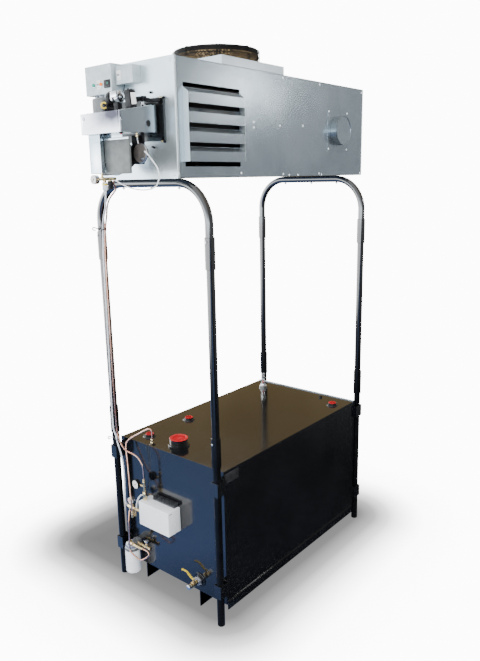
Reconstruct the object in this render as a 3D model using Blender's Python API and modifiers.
# Tank-mounted oil heater: a sheet-steel heater with its burner, carried on two
# tube frames over a rectangular oil tank. Metres, +Z up. X runs along the tank
# with the burner at -X, and Z = 0 is the floor.
import math

import bmesh
import bpy
from mathutils import Matrix, Vector

# General fits
GAP = 0.0003
SHEET = 0.0015
OVERRUN = 0.02
WELD_SINK = 0.001
MERGE = 0.00001

# Tank
TANK_LENGTH = 1.400
TANK_WIDTH = 0.840
TANK_BASE_Z = 0.103
TANK_HEIGHT = 0.816
TANK_WALL = 0.003
TANK_LIP = 0.003
TANK_END_THICK = 0.006
RAIL_HEIGHT = 0.051
RAIL_DROP = 0.036
RAIL_THICK = 0.008
RAIL_PROUD = 0.005
RAIL_INSET = 0.010
SKID_WEB = 0.005
SKID_FLANGE = 0.045
SKID_INSET = 0.1905

# Stand
TUBE_R = 0.0212
TUBE_WALL = 0.0035
SLEEVE_R = 0.026
LEG_X_OUT = 0.0455
LEG_Y_IN = 0.0067
LOWER_SLEEVE_RISE = 0.046
LOWER_SLEEVE_LENGTH = 0.165
UPPER_SLEEVE_LENGTH = 0.158
SOCKET_DEPTH = 0.080
CLIP_WALL = 0.003
CLIP_HEIGHT = 0.080
CLIP_LOW_RISE = 0.075
CLIP_HIGH_DROP = 0.121
FRAME_BAR_RISE = 1.518
FRAME_BEND_R = 0.200
FRAME_STRAIGHT = 0.062
FRAME_BEND_STEPS = 6

# Fittings on the tank top
FILL_INSET = 0.115
FILL_Y = 0.030
FILL_BORE_R = 0.0400
FILL_RIM_R = 0.0475
FILL_FOOT_R = 0.0560
FILL_FOOT_HEIGHT = 0.010
FILL_HEIGHT = 0.046
FILL_RIB_STEP = 0.0110
FILL_RIB_DEPTH = 0.002
FILL_RIB_SHARES = (0.6, 0.7, 0.9)
FILL_PLUG_DEPTH = 0.026
FILL_PLUG_WALL = 0.003
FILL_PLUG_LIP = 0.004
BUNG_R = 0.038
BUNG_STEP_R = 0.030
BUNG_BORE_R = 0.0215
BUNG_STEP_HEIGHT = 0.005
BUNG_HEIGHT = 0.014
BUNG_ROW_INSET = 0.143
BUNG_FRONT_INSET = 0.108
BUNG_MIDDLE_INSET = 0.455
BUNG_REAR_INSET = 0.150
BUNG_REAR_SIDE_INSET = 0.090
PLUG_FLANGE_R = 0.026
PLUG_FLANGE = 0.003
PLUG_DEPTH = 0.016
PLUG_WALL = 0.0025
PLUG_GRIP_R = 0.006
VENT_INSET = 0.066
VENT_SIDE_INSET = 0.239
VENT_R = 0.012
VENT_HEIGHT = 0.012
LEVEL_INSET = 0.122
LEVEL_SIDE_INSET = 0.127
LEVEL_FOOT_R = 0.0305
LEVEL_FOOT_HEIGHT = 0.014
LEVEL_NUT_R = 0.019
LEVEL_NUT_HEIGHT = 0.018
LEVEL_VIAL_R = 0.0135
LEVEL_VIAL_WALL = 0.002
LEVEL_VIAL_HEIGHT = 0.075
LEVEL_FLOAT_R = 0.0111
LEVEL_FLOAT_HEIGHT = 0.014

# Heater cabinet
CABINET_FRONT_REACH = 0.077
CABINET_REAR_REACH = 0.2055
CABINET_HALF_Y = 0.290
CABINET_HEIGHT = 0.5525
CAP_RETURN = 0.0165
LOUVRE_INSET = 0.0555
LOUVRE_WIDTH = 0.420
LOUVRE_BOTTOM_RISE = 0.0545
LOUVRE_HEIGHT = 0.386
LOUVRE_PITCH = 0.0903
LOUVRE_LIP = 0.048
LOUVRE_SLOPE_RISE = 0.0183
LOUVRE_PROUD = 0.034
LOUVRE_COUNT = 4
LOUVRE_FIRST_LIP_RISE = 0.023
LOUVRE_PANEL_MARGIN = 0.017
LOUVRE_PANEL_TOP_MARGIN = 0.056
LOUVRE_PANEL_FOOT = 0.0035
FAN_BOX_SIZE_X = 0.530
FAN_BOX_SIZE_Y = 0.540
FAN_BOX_HEIGHT = 0.043
FAN_INSET = 0.6075
FAN_ORIFICE_R = 0.226
FLUE_INSET = 0.316
FLUE_R = 0.0860
FLUE_WALL = 0.0015
FLUE_PLATE_WIDTH = 0.246
FLUE_PLATE_HEIGHT = 0.250
FLUE_PROUD = 0.030
FLUE_INWARD = 0.028
FLUE_CAP_DEPTH = 0.046
FLUE_CAP_RECESS = 0.004
FLUE_CAP_RIM = 0.0025

# Fan
FAN_HUB_R = 0.032
FAN_HUB_HEIGHT = 0.026
FAN_TIP_R = 0.214
FAN_BLADES = 5
FAN_PITCH = 24
FAN_BLADE_ROOT_WIDTH = 0.060
FAN_BLADE_TIP_WIDTH = 0.130
FAN_BLADE_THICK = 0.0025
FAN_BLADE_CAMBER = 0.010
FAN_BLADE_SWEEP = 18
FAN_PLANE_DROP = 0.012
FAN_ROOT_SHARE = 0.8
FAN_ROOT_PITCH_SHARE = 1.25
FAN_TWIST_SHARE = 0.45
FAN_CURL_SHARE = 0.9
FAN_DISH_SHARE = 0.1
FAN_BORE_R = 0.0063
MOTOR_SHAFT_R = 0.0060
FAN_MOTOR_R = 0.055
FAN_MOTOR_BELL_R = 0.046
FAN_MOTOR_HEIGHT = 0.060
FAN_MOTOR_BELL = 0.008
FAN_MOTOR_SHAFT = 0.040
GUARD_R = 0.242
GUARD_WIRE = 0.0045
GUARD_HEIGHT = 0.082
GUARD_RIBS = 8
GUARD_ARC_STEPS = 4
GUARD_TOP_RINGS = 6
GUARD_SIDE_RINGS = 2
GUARD_HUB_R = 0.041

# Heat exchanger
DRUM_R = 0.190
DRUM_WALL = 0.003
DRUM_FRONT_INSET = 0.0675
DRUM_REAR_INSET = 0.121
DRUM_SIDE_INSET = 0.2185
DRUM_RISE = 0.2765
DRUM_MOUTH_R = 0.060
DRUM_RIM_WIDTH = 0.012
DRUM_RIM_PROUD = 0.006
SADDLE_LENGTH = 0.040
SADDLE_WIDTH = 0.160
SADDLE_INSET = 0.220
SADDLE_SINK = 0.0015

# Burner
BURNER_PLATE_THICK = 0.012
BURNER_PLATE_WIDTH = 0.307
BURNER_PLATE_RISE = 0.098
BURNER_PLATE_DROP = 0.099
BLAST_TUBE_R = 0.052
BLAST_TUBE_WALL = 0.003
BLAST_TUBE_REACH = 0.085
BURNER_WIDTH = 0.267
BURNER_REACH = 0.2645
BURNER_TOP_FRONT_RISE = 0.023
BURNER_TOP_REAR_RISE = 0.067
BURNER_BOTTOM_FRONT_DROP = 0.070
BURNER_BOTTOM_REAR_DROP = 0.062
BURNER_CORNER_R = 0.045
DOOR_DEPTH = 0.012
DOOR_SHEET = 0.002
DOOR_BARREL_R = 0.0045
DOOR_LATCH_R = 0.008
DOOR_LATCH_PROUD = 0.003
DOOR_LATCH_INSET = 0.022
SCROLL_SETBACK = 0.122
SCROLL_DROP = 0.169
SCROLL_WIDTH = 0.080
SCROLL_R_SMALL = 0.071
SCROLL_R_LARGE = 0.094
SCROLL_THROAT = 0.072
SCROLL_FRONT_DROP = 0.078
SCROLL_INLET_R = 0.042
SCROLL_START_ANGLE = 66
SCROLL_STEPS = 30
WHEEL_R = 0.062
WHEEL_INNER_R = 0.050
WHEEL_WIDTH = 0.052
WHEEL_VANES = 16
WHEEL_VANE_THICK = 0.002
WHEEL_DISC = 0.003
WHEEL_HUB_R = 0.014
WHEEL_BORE_R = 0.0053
BLOWER_SHAFT_R = 0.0050
BLOWER_SHAFT_REACH = 0.045
BLOWER_MOTOR_R = 0.057
BLOWER_MOTOR_LENGTH = 0.095
BLOWER_MOTOR_BELL_R = 0.048
BLOWER_MOTOR_BELL = 0.012
MOTOR_PLATE_REACH = 0.070
MOTOR_PLATE_WIDTH = 0.176
MOTOR_PLATE_HEIGHT = 0.165
MOTOR_PLATE_INSET = 0.008
MOTOR_PLATE_STUD = 0.020
AIR_SWITCH_SETBACK = 0.010
AIR_SWITCH_INSET = 0.031
AIR_SWITCH_RISE = 0.011
AIR_SWITCH_R = 0.046
AIR_SWITCH_THICK = 0.020
AIR_SWITCH_RIM = 0.004
AIR_SWITCH_BODY_DEPTH = 0.022
AIR_SWITCH_BODY_WIDTH = 0.040
AIR_SWITCH_BRACKET = 0.004
AIR_SWITCH_BRACKET_WIDTH = 0.024
CONTROL_SETBACK = 0.057
CONTROL_LENGTH = 0.070
CONTROL_WIDTH = 0.078
CONTROL_HEIGHT = 0.068
CONTROL_EDGE_R = 0.012
VALVE_SETBACK = 0.085
VALVE_INSET = 0.145
VALVE_RISE = 0.095
VALVE_BODY_R = 0.026
VALVE_BODY_LENGTH = 0.072
VALVE_COIL_R = 0.031
VALVE_COIL_LENGTH = 0.014
VALVE_FOOT_WIDTH = 0.030
TRANSFORMER_SETBACK = 0.072
TRANSFORMER_INSET = 0.010
TRANSFORMER_LENGTH = 0.046
TRANSFORMER_WIDTH = 0.052
TRANSFORMER_HEIGHT = 0.090
TRANSFORMER_EDGE_R = 0.005
RESET_SETBACK = 0.017
RESET_INSET = 0.017
RESET_BUTTON_R = 0.0055
RESET_BUTTON_LENGTH = 0.012
RESET_COLLAR_R = 0.010
RESET_COLLAR_HEIGHT = 0.006
RESET_CLEARANCE = 0.0005
RESET_TRAVEL = 0.003
RESET_HEAD = 0.0015

# Oil group under the burner
GROUP_REACH = 0.055
GROUP_DROP = 0.104
GROUP_BAR_R = 0.008
GROUP_INSET = 0.012
GROUP_LENGTH = 0.095
GROUP_NIPPLE_INSET = 0.020
GROUP_NIPPLE_R = 0.006
GROUP_BOWL_INSET = 0.036
GROUP_BOWL_R = 0.0125
GROUP_BOWL_TOP = 0.052
GROUP_BOWL_LENGTH = 0.070
GROUP_VALVE_INSET = 0.078
GROUP_VALVE_R = 0.014
GROUP_VALVE_LENGTH = 0.062
GROUP_PORT_R = 0.007
GROUP_PORT_LENGTH = 0.014

# Gauges
GAUGE_R = 0.028
GAUGE_DEPTH = 0.026
GAUGE_RIM = 0.0025
GAUGE_RECESS = 0.005
SMALL_GAUGE_R = 0.0225
NEEDLE_LENGTH = 0.019
NEEDLE_TAIL = 0.006
NEEDLE_WIDTH = 0.0024
NEEDLE_THICK = 0.0008
NEEDLE_HUB_R = 0.0030
NEEDLE_HUB_HEIGHT = 0.0022
NEEDLE_LIFT = 0.0008
NEEDLE_REST_ANGLE = 135
SMALL_NEEDLE_SHARE = 0.75
PRESSURE_GAUGE_REACH = 0.035
PRESSURE_GAUGE_DROP = 0.002
VACUUM_GAUGE_REACH = 0.080
VACUUM_GAUGE_SPACE = 0.067
VACUUM_GAUGE_RISE = 0.084
FEED_GAUGE_REACH = 0.102
FEED_GAUGE_SPACE = 0.075
FEED_GAUGE_RISE = 0.049

# Electrical boxes
CONTROL_BOX_INSET = 0.027
CONTROL_BOX_WIDTH = 0.202
CONTROL_BOX_TOP_DROP = 0.001
CONTROL_BOX_HEIGHT = 0.138
CONTROL_BOX_DEPTH = 0.076
BOX_SPACE = 0.007
JUNCTION_BOX_WIDTH = 0.122
JUNCTION_BOX_TOP_DROP = 0.019
JUNCTION_BOX_HEIGHT = 0.082
JUNCTION_BOX_DEPTH = 0.053
BOX_SHEET = 0.0012
CONTROL_TOGGLE_INSET = 0.100
CONTROL_TOGGLE_DROP = 0.094
JUNCTION_TOGGLE_INSET = 0.099
JUNCTION_TOGGLE_DROP = 0.041
TOGGLE_BALL_R = 0.0040
TOGGLE_TIP_R = 0.0030
TOGGLE_LENGTH = 0.016
TOGGLE_NECK_R = 0.0019
TOGGLE_TILT = 14
TOGGLE_TIP_SHARES = (0.7, 0.3)
TOGGLE_BALL_SHARES = (0.8, 0.6, 0.7)
LAMP_HOLE_R = 0.0060
LAMP_DROP = 0.093
GREEN_LAMP_INSET = 0.137
AMBER_LAMP_INSET = 0.079
DISPLAY_INSET = 0.033
DISPLAY_DROP = 0.094
DISPLAY_WIDTH = 0.044
DISPLAY_HEIGHT = 0.034

# Pump unit on the tank end
PUMP_INSET = 0.495
PUMP_WIDTH = 0.250
PUMP_TOP_DROP = 0.322
PUMP_HEIGHT = 0.151
PUMP_DEPTH = 0.100
FIN_BLOCK_INSET = 0.015
FIN_BLOCK_WIDTH = 0.180
FIN_BLOCK_DEPTH = 0.046
FIN_BLOCK_RISE = 0.025
FIN_BLOCK_HEIGHT = 0.090
FIN_PITCH = 0.018
FIN_SLOT = 0.009
FIN_DEPTH = 0.016
TEE_REACH = 0.065
TEE_INSET = 0.020
TEE_RISE = 0.086
TEE_R = 0.0085
TEE_HEIGHT = 0.070
TEE_NUT_R = 0.0115
MANIFOLD_REACH = 0.085
MANIFOLD_DROP = 0.073
MANIFOLD_R = 0.0100
MANIFOLD_LENGTH = 0.113
MANIFOLD_PORT_SPACE = 0.055
MANIFOLD_PORT_R = 0.0085
MANIFOLD_PORT_DROP = 0.044
MANIFOLD_ELBOW_R = 0.0075
MANIFOLD_ELBOW_OUT = 0.021
MANIFOLD_NUT_R = 0.0095
MANIFOLD_NUT_HEIGHT = 0.028
MANIFOLD_NUT_RISE = 0.020
FEED_STEM_R = 0.0060

# Filter
FILTER_REACH = 0.062
FILTER_SPACE = 0.130
FILTER_R = 0.0465
FILTER_DROP = 0.041
FILTER_HEIGHT = 0.170
FILTER_EDGE_R = 0.010
HEAD_R = 0.040
HEAD_HEIGHT = 0.030
HEAD_ARM_WIDTH = 0.044
HEAD_TOP_PORT_R = 0.012
HEAD_TOP_PORT_HEIGHT = 0.022
HEAD_SIDE_REACH = 0.080
HEAD_SIDE_R = 0.0095
KNOB_SPACE = 0.025
KNOB_STEM_R = 0.0055
KNOB_STEM_HEIGHT = 0.026
KNOB_R = 0.0150
KNOB_THICK = 0.009
KNOB_WALL_DISTANCE = 0.034
KNOB_EDGE_SHARES = (0.8, 0.3, 0.2, 0.7)

# Drain
DRAIN_INSET = 0.207
DRAIN_RISE = 0.075
DRAIN_FLANGE_R = 0.044
DRAIN_FLANGE = 0.008
DRAIN_HEX_R = 0.029
DRAIN_HEX = 0.018
DRAIN_BODY_R = 0.013
DRAIN_BALL_R = 0.0175
DRAIN_BODY_LENGTH = 0.058
DRAIN_CAP_R = 0.0145
DRAIN_CAP = 0.018
DRAIN_STEM_X_OUT = 0.052
DRAIN_STEM_R = 0.0042
DRAIN_STEM_HEIGHT = 0.034
LEVER_WIDTH = 0.013
LEVER_THICK = 0.003
LEVER_FLAT = 0.016
LEVER_RISE = 0.026
LEVER_SLOPE_LENGTH = 0.038
LEVER_GRIP_LENGTH = 0.038
LEVER_EYE_R = 0.0090

# Pipes and hoses. A run is a list of points picked by hand, each given from the
# burner's oil group, the tank's front left corner or the foot of that corner.
PIPE_R = 0.0048
HOSE_R = 0.0052
ROUTE_STEP = 0.030
ROUTE_MOST_STEPS = 2
SUPPLY_BURNER_POINTS = [
    (0.0143, -0.099, 0), (0.024, -0.099, 0), (0.032, -0.09, -0.004), (0.045, -0.064, -0.01),
    (0.065, -0.032, -0.021), (0.098, -0.01, -0.048), (0.125, 0.041, -0.068), (0.155, 0.104, -0.09),
    (0.185, 0.1625, -0.116),
]
SUPPLY_TANK_POINTS = [
    (-0.107, -0.146, 1.391), (-0.084, -0.108, 1.346), (-0.071, -0.077, 1.286),
    (-0.068, -0.064, 1.211), (-0.067, -0.054, 1.081), (-0.067, -0.0485, 0.681),
    (-0.067, -0.0455, 0.281), (-0.067, -0.047, 0.081), (-0.068, -0.059, 0.029),
    (-0.07, -0.085, -0.012), (-0.072, -0.124, -0.0395), (-0.072, -0.194, -0.047),
    (-0.07, -0.234, -0.063), (-0.067, -0.26, -0.099), (-0.065, -0.265, -0.149),
    (-0.065, -0.265, -0.2007),
]
TANK_LINE_POINTS = [
    (0.029, -0.252, -0.0027), (0.029, -0.252, 0.041), (0.029, -0.251, 0.076),
    (0.026, -0.242, 0.092), (0.018, -0.215, 0.084), (0, -0.168, 0.054), (-0.022, -0.117, 0.019),
    (-0.036, -0.092, -0.014), (-0.044, -0.095, -0.059), (-0.052, -0.109, -0.107),
    (-0.065, -0.1285, -0.175), (-0.079, -0.148, -0.229), (-0.1, -0.176, -0.286),
    (-0.109, -0.1895, -0.319), (-0.111, -0.1925, -0.349), (-0.1075, -0.1905, -0.389),
    (-0.106, -0.19, -0.407), (-0.106, -0.19, -0.4187),
]
FILTER_LINE_TOP_POINTS = [
    (-0.085, -0.144, -0.404), (-0.085, -0.144, -0.416), (-0.092, -0.146, -0.432),
    (-0.108, -0.156, -0.469), (-0.115, -0.161, -0.519),
]
FILTER_LINE_LOW_POINTS = [
    (-0.118, -0.161, 0.221), (-0.12, -0.1615, 0.165), (-0.123, -0.17, 0.141),
    (-0.123, -0.1932, 0.128), (-0.123, -0.232, 0.1175), (-0.12, -0.2595, 0.1145),
    (-0.116, -0.288, 0.131), (-0.111, -0.311, 0.153), (-0.106, -0.319, 0.17),
    (-0.103, -0.303, 0.1805), (-0.102, -0.272, 0.181), (-0.102, -0.248, 0.181),
]
RETURN_BURNER_POINTS = [
    (0, -0.048, -0.0565), (0, -0.048, -0.072), (0.02, -0.021, -0.102), (0.045, 0.0137, -0.1254),
    (0.075, 0.057, -0.15), (0.11, 0.1085, -0.173), (0.15, 0.1676, -0.2),
]
RETURN_TANK_POINTS = [
    (-0.13, -0.132, 1.317), (-0.1, -0.089, 1.293), (-0.088, -0.072, 1.261),
    (-0.0855, -0.0645, 1.201), (-0.085, -0.0565, 1.081), (-0.085, -0.0485, 0.681),
    (-0.085, -0.04, 0.331), (-0.085, -0.037, 0.101), (-0.087, -0.059, 0.046),
    (-0.094, -0.084, -0.004), (-0.099, -0.11, -0.049), (-0.102, -0.128, -0.109),
    (-0.102, -0.132, -0.179), (-0.102, -0.13, -0.269), (-0.097, -0.1215, -0.329),
    (-0.089, -0.113, -0.371), (-0.085, -0.118, -0.392), (-0.085, -0.1217, -0.395),
    (-0.085, -0.1317, -0.395),
]
SHORT_HOSE_POINTS = [
    (-0.085, -0.207, -0.3859), (-0.085, -0.207, -0.372), (-0.084, -0.213, -0.347),
    (-0.08, -0.222, -0.322), (-0.072, -0.232, -0.304), (-0.065, -0.2435, -0.2965),
    (-0.065, -0.2546, -0.2965),
]

# Turning directions of a piece whose own axis is its local Z
AXIS_ROTATION = {
    "Z": (0, 0, 0),
    "-Z": (math.pi, 0, 0),
    "X": (0, math.pi / 2, 0),
    "-X": (0, -math.pi / 2, 0),
    "Y": (-math.pi / 2, 0, 0),
    "-Y": (math.pi / 2, 0, 0),
}

# Places worked out from the sizes above
TANK_END_X = TANK_LENGTH / 2
TANK_SIDE_Y = TANK_WIDTH / 2
TANK_TOP_Z = TANK_BASE_Z + TANK_HEIGHT
SKID_Y = TANK_SIDE_Y - SKID_INSET
LEG_X = TANK_END_X + LEG_X_OUT
LEG_Y = TANK_SIDE_Y - LEG_Y_IN
CLIP_LOW_Z = TANK_BASE_Z + CLIP_LOW_RISE
CLIP_HIGH_Z = TANK_TOP_Z - CLIP_HIGH_DROP
LOWER_SLEEVE_Z = TANK_TOP_Z + LOWER_SLEEVE_RISE
FRAME_BAR_Z = TANK_TOP_Z + FRAME_BAR_RISE
UPPER_SLEEVE_Z = FRAME_BAR_Z - FRAME_BEND_R - FRAME_STRAIGHT - UPPER_SLEEVE_LENGTH
FILL_X = -TANK_END_X + FILL_INSET
BUNG_ROW_Y = TANK_SIDE_Y - BUNG_ROW_INSET
BUNG_FRONT_X = -TANK_END_X + BUNG_FRONT_INSET
BUNG_MIDDLE_X = -TANK_END_X + BUNG_MIDDLE_INSET
BUNG_REAR_X = TANK_END_X - BUNG_REAR_INSET
BUNG_REAR_Y = -TANK_SIDE_Y + BUNG_REAR_SIDE_INSET
VENT_X = TANK_END_X - VENT_INSET
VENT_Y = -TANK_SIDE_Y + VENT_SIDE_INSET
LEVEL_X = TANK_END_X - LEVEL_INSET
LEVEL_Y = TANK_SIDE_Y - LEVEL_SIDE_INSET
CABINET_FRONT_X = -LEG_X - CABINET_FRONT_REACH
CABINET_REAR_X = LEG_X + CABINET_REAR_REACH
CABINET_BASE_Z = FRAME_BAR_Z + TUBE_R + GAP
CABINET_TOP_Z = CABINET_BASE_Z + CABINET_HEIGHT
LOUVRE_LEFT_X = CABINET_FRONT_X + LOUVRE_INSET
LOUVRE_RIGHT_X = LOUVRE_LEFT_X + LOUVRE_WIDTH
LOUVRE_BOTTOM_Z = CABINET_BASE_Z + LOUVRE_BOTTOM_RISE
LOUVRE_TOP_Z = LOUVRE_BOTTOM_Z + LOUVRE_HEIGHT
LOUVRE_FIRST_LIP_Z = LOUVRE_BOTTOM_Z + LOUVRE_FIRST_LIP_RISE
LOUVRE_PANEL_LEFT_X = CABINET_FRONT_X + CAP_RETURN + GAP
LOUVRE_PANEL_RIGHT_X = LOUVRE_RIGHT_X + LOUVRE_PANEL_MARGIN
LOUVRE_PANEL_TOP_Z = LOUVRE_TOP_Z + LOUVRE_PANEL_TOP_MARGIN
LOUVRE_PANEL_BOTTOM_Z = CABINET_BASE_Z + LOUVRE_PANEL_FOOT
FLUE_X = CABINET_REAR_X - FLUE_INSET
FAN_X = CABINET_FRONT_X + FAN_INSET
FAN_Y = -CABINET_HALF_Y + FAN_BOX_SIZE_Y / 2
FAN_BOX_TOP_Z = CABINET_TOP_Z + GAP + FAN_BOX_HEIGHT
FAN_BLADE_Z = FAN_BOX_TOP_Z - FAN_PLANE_DROP
DRUM_FRONT_X = CABINET_FRONT_X + DRUM_FRONT_INSET
DRUM_REAR_X = CABINET_REAR_X - DRUM_REAR_INSET
DRUM_Y = -CABINET_HALF_Y + DRUM_SIDE_INSET
DRUM_Z = CABINET_BASE_Z + DRUM_RISE
BURNER_PLATE_TOP_Z = DRUM_Z + BURNER_PLATE_RISE
BURNER_PLATE_BOTTOM_Z = DRUM_Z - BURNER_PLATE_DROP
BURNER_PLATE_FACE_X = CABINET_FRONT_X - GAP - BURNER_PLATE_THICK
BURNER_REAR_X = BURNER_PLATE_FACE_X - GAP
BURNER_FRONT_X = CABINET_FRONT_X - BURNER_REACH
BURNER_RIGHT_Y = DRUM_Y - BURNER_WIDTH / 2
BURNER_LEFT_Y = DRUM_Y + BURNER_WIDTH / 2
BURNER_TOP_FRONT_Z = DRUM_Z + BURNER_TOP_FRONT_RISE
BURNER_TOP_REAR_Z = DRUM_Z + BURNER_TOP_REAR_RISE
BURNER_BOTTOM_FRONT_Z = DRUM_Z - BURNER_BOTTOM_FRONT_DROP
BURNER_BOTTOM_REAR_Z = DRUM_Z - BURNER_BOTTOM_REAR_DROP
DOOR_FRONT_X = BURNER_FRONT_X - GAP - DOOR_DEPTH
SCROLL_X = BURNER_FRONT_X + SCROLL_SETBACK
SCROLL_Z = DRUM_Z - SCROLL_DROP
SCROLL_LEFT_Y = BURNER_LEFT_Y
SCROLL_RIGHT_Y = SCROLL_LEFT_Y - SCROLL_WIDTH
MOTOR_PLATE_X = SCROLL_X - MOTOR_PLATE_REACH
MOTOR_PLATE_RIGHT_Y = BURNER_RIGHT_Y + MOTOR_PLATE_INSET
AIR_SWITCH_X = SCROLL_X + AIR_SWITCH_SETBACK
AIR_SWITCH_Y = BURNER_RIGHT_Y + AIR_SWITCH_INSET
AIR_SWITCH_Z = SCROLL_Z + AIR_SWITCH_RISE
CONTROL_X = BURNER_FRONT_X + CONTROL_SETBACK
VALVE_X = BURNER_FRONT_X + VALVE_SETBACK
VALVE_Y = BURNER_RIGHT_Y + VALVE_INSET
VALVE_Z = DRUM_Z + VALVE_RISE
TRANSFORMER_X = BURNER_FRONT_X + TRANSFORMER_SETBACK
TRANSFORMER_Y = BURNER_RIGHT_Y + TRANSFORMER_INSET
RESET_X = BURNER_FRONT_X + RESET_SETBACK
RESET_Y = BURNER_RIGHT_Y + RESET_INSET
GROUP_X = SCROLL_X - GROUP_REACH
GROUP_Z = SCROLL_Z - GROUP_DROP
GROUP_LEFT_Y = SCROLL_LEFT_Y - GROUP_INSET
GROUP_RIGHT_Y = GROUP_LEFT_Y - GROUP_LENGTH
GROUP_NIPPLE_Y = GROUP_LEFT_Y - GROUP_NIPPLE_INSET
GROUP_BOWL_Y = GROUP_LEFT_Y - GROUP_BOWL_INSET
GROUP_VALVE_Y = GROUP_LEFT_Y - GROUP_VALVE_INSET
PRESSURE_GAUGE_Y = GROUP_LEFT_Y + PRESSURE_GAUGE_REACH
PRESSURE_GAUGE_Z = GROUP_Z - PRESSURE_GAUGE_DROP
CONTROL_BOX_Y = CABINET_HALF_Y - CONTROL_BOX_INSET - CONTROL_BOX_WIDTH
JUNCTION_BOX_Y = CONTROL_BOX_Y - BOX_SPACE - JUNCTION_BOX_WIDTH
JUNCTION_BOX_TOP_Z = CABINET_TOP_Z - JUNCTION_BOX_TOP_DROP
CONTROL_TOGGLE_Y = CONTROL_BOX_Y + CONTROL_TOGGLE_INSET
CONTROL_TOGGLE_Z = CABINET_TOP_Z - CONTROL_TOGGLE_DROP
JUNCTION_TOGGLE_Y = JUNCTION_BOX_Y + JUNCTION_TOGGLE_INSET
JUNCTION_TOGGLE_Z = JUNCTION_BOX_TOP_Z - JUNCTION_TOGGLE_DROP
LAMP_Z = CABINET_TOP_Z - LAMP_DROP
GREEN_LAMP_Y = CONTROL_BOX_Y + GREEN_LAMP_INSET
AMBER_LAMP_Y = CONTROL_BOX_Y + AMBER_LAMP_INSET
DISPLAY_Y = CONTROL_BOX_Y + DISPLAY_INSET
DISPLAY_Z = CABINET_TOP_Z - DISPLAY_DROP
PUMP_Y = TANK_SIDE_Y - PUMP_INSET
PUMP_LEFT_Y = PUMP_Y + PUMP_WIDTH
PUMP_TOP_Z = TANK_TOP_Z - PUMP_TOP_DROP
FIN_BLOCK_Y = PUMP_Y + FIN_BLOCK_INSET
FIN_BLOCK_TOP_Z = PUMP_TOP_Z + FIN_BLOCK_RISE
TEE_X = -TANK_END_X - TEE_REACH
TEE_Y = PUMP_LEFT_Y - TEE_INSET
TEE_Z = PUMP_TOP_Z + TEE_RISE
MANIFOLD_X = -TANK_END_X - MANIFOLD_REACH
MANIFOLD_Z = PUMP_TOP_Z - MANIFOLD_DROP
MANIFOLD_LEFT_Y = PUMP_LEFT_Y + MANIFOLD_LENGTH
MANIFOLD_PORT_Y = PUMP_LEFT_Y + MANIFOLD_PORT_SPACE
VACUUM_GAUGE_X = -TANK_END_X - VACUUM_GAUGE_REACH
VACUUM_GAUGE_Y = TEE_Y + VACUUM_GAUGE_SPACE
VACUUM_GAUGE_Z = PUMP_TOP_Z + VACUUM_GAUGE_RISE
FEED_GAUGE_X = -TANK_END_X - FEED_GAUGE_REACH
FEED_GAUGE_Y = PUMP_LEFT_Y + FEED_GAUGE_SPACE
FEED_GAUGE_Z = MANIFOLD_Z + FEED_GAUGE_RISE
FILTER_X = -TANK_END_X - FILTER_REACH
FILTER_Y = PUMP_LEFT_Y + FILTER_SPACE
FILTER_BASE_Z = TANK_BASE_Z - FILTER_DROP
KNOB_Y = PUMP_LEFT_Y + KNOB_SPACE
DRAIN_Y = -TANK_SIDE_Y + DRAIN_INSET
DRAIN_Z = TANK_BASE_Z + DRAIN_RISE
ORIGIN_SHIFT_X = -(DOOR_FRONT_X - DOOR_LATCH_PROUD + CABINET_REAR_X) / 2
BURNER_PLACE = (GROUP_X, SCROLL_LEFT_Y, GROUP_Z)
CORNER_PLACE = (-TANK_END_X, TANK_SIDE_Y, TANK_TOP_Z)
FOOT_PLACE = (-TANK_END_X, TANK_SIDE_Y, TANK_BASE_Z)


def from_place(place, points):
    return [tuple(a + b for a, b in zip(place, point)) for point in points]


SUPPLY_ROUTE = from_place(BURNER_PLACE, SUPPLY_BURNER_POINTS) + from_place(CORNER_PLACE, SUPPLY_TANK_POINTS)
TANK_ROUTE = from_place(CORNER_PLACE, TANK_LINE_POINTS)
FILTER_ROUTE = from_place(CORNER_PLACE, FILTER_LINE_TOP_POINTS) + from_place(FOOT_PLACE, FILTER_LINE_LOW_POINTS)
RETURN_HOSE_ROUTE = from_place(BURNER_PLACE, RETURN_BURNER_POINTS) + from_place(CORNER_PLACE, RETURN_TANK_POINTS)
SHORT_HOSE_ROUTE = from_place(CORNER_PLACE, SHORT_HOSE_POINTS)


def clear_scene():
    for obj in list(bpy.data.objects):
        bpy.data.objects.remove(obj, do_unlink=True)


def new_collection(name):
    group = bpy.data.collections.new(name)
    bpy.context.scene.collection.children.link(group)
    return group


def new_material(name, colour, roughness, metallic):
    material = bpy.data.materials.new(name)
    material.use_nodes = True
    shader = material.node_tree.nodes["Principled BSDF"]
    shader.inputs["Base Color"].default_value = (*colour, 1)
    shader.inputs["Roughness"].default_value = roughness
    shader.inputs["Metallic"].default_value = metallic
    material.diffuse_color = (*colour, 1)
    return material


clear_scene()
PARTS = new_collection("tank_mounted_heater")
CUTTERS = new_collection("cutters")
ORIGIN = bpy.data.objects.new("heater_origin", None)
PARTS.objects.link(ORIGIN)
ORIGIN.location = (ORIGIN_SHIFT_X, 0, 0)

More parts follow.
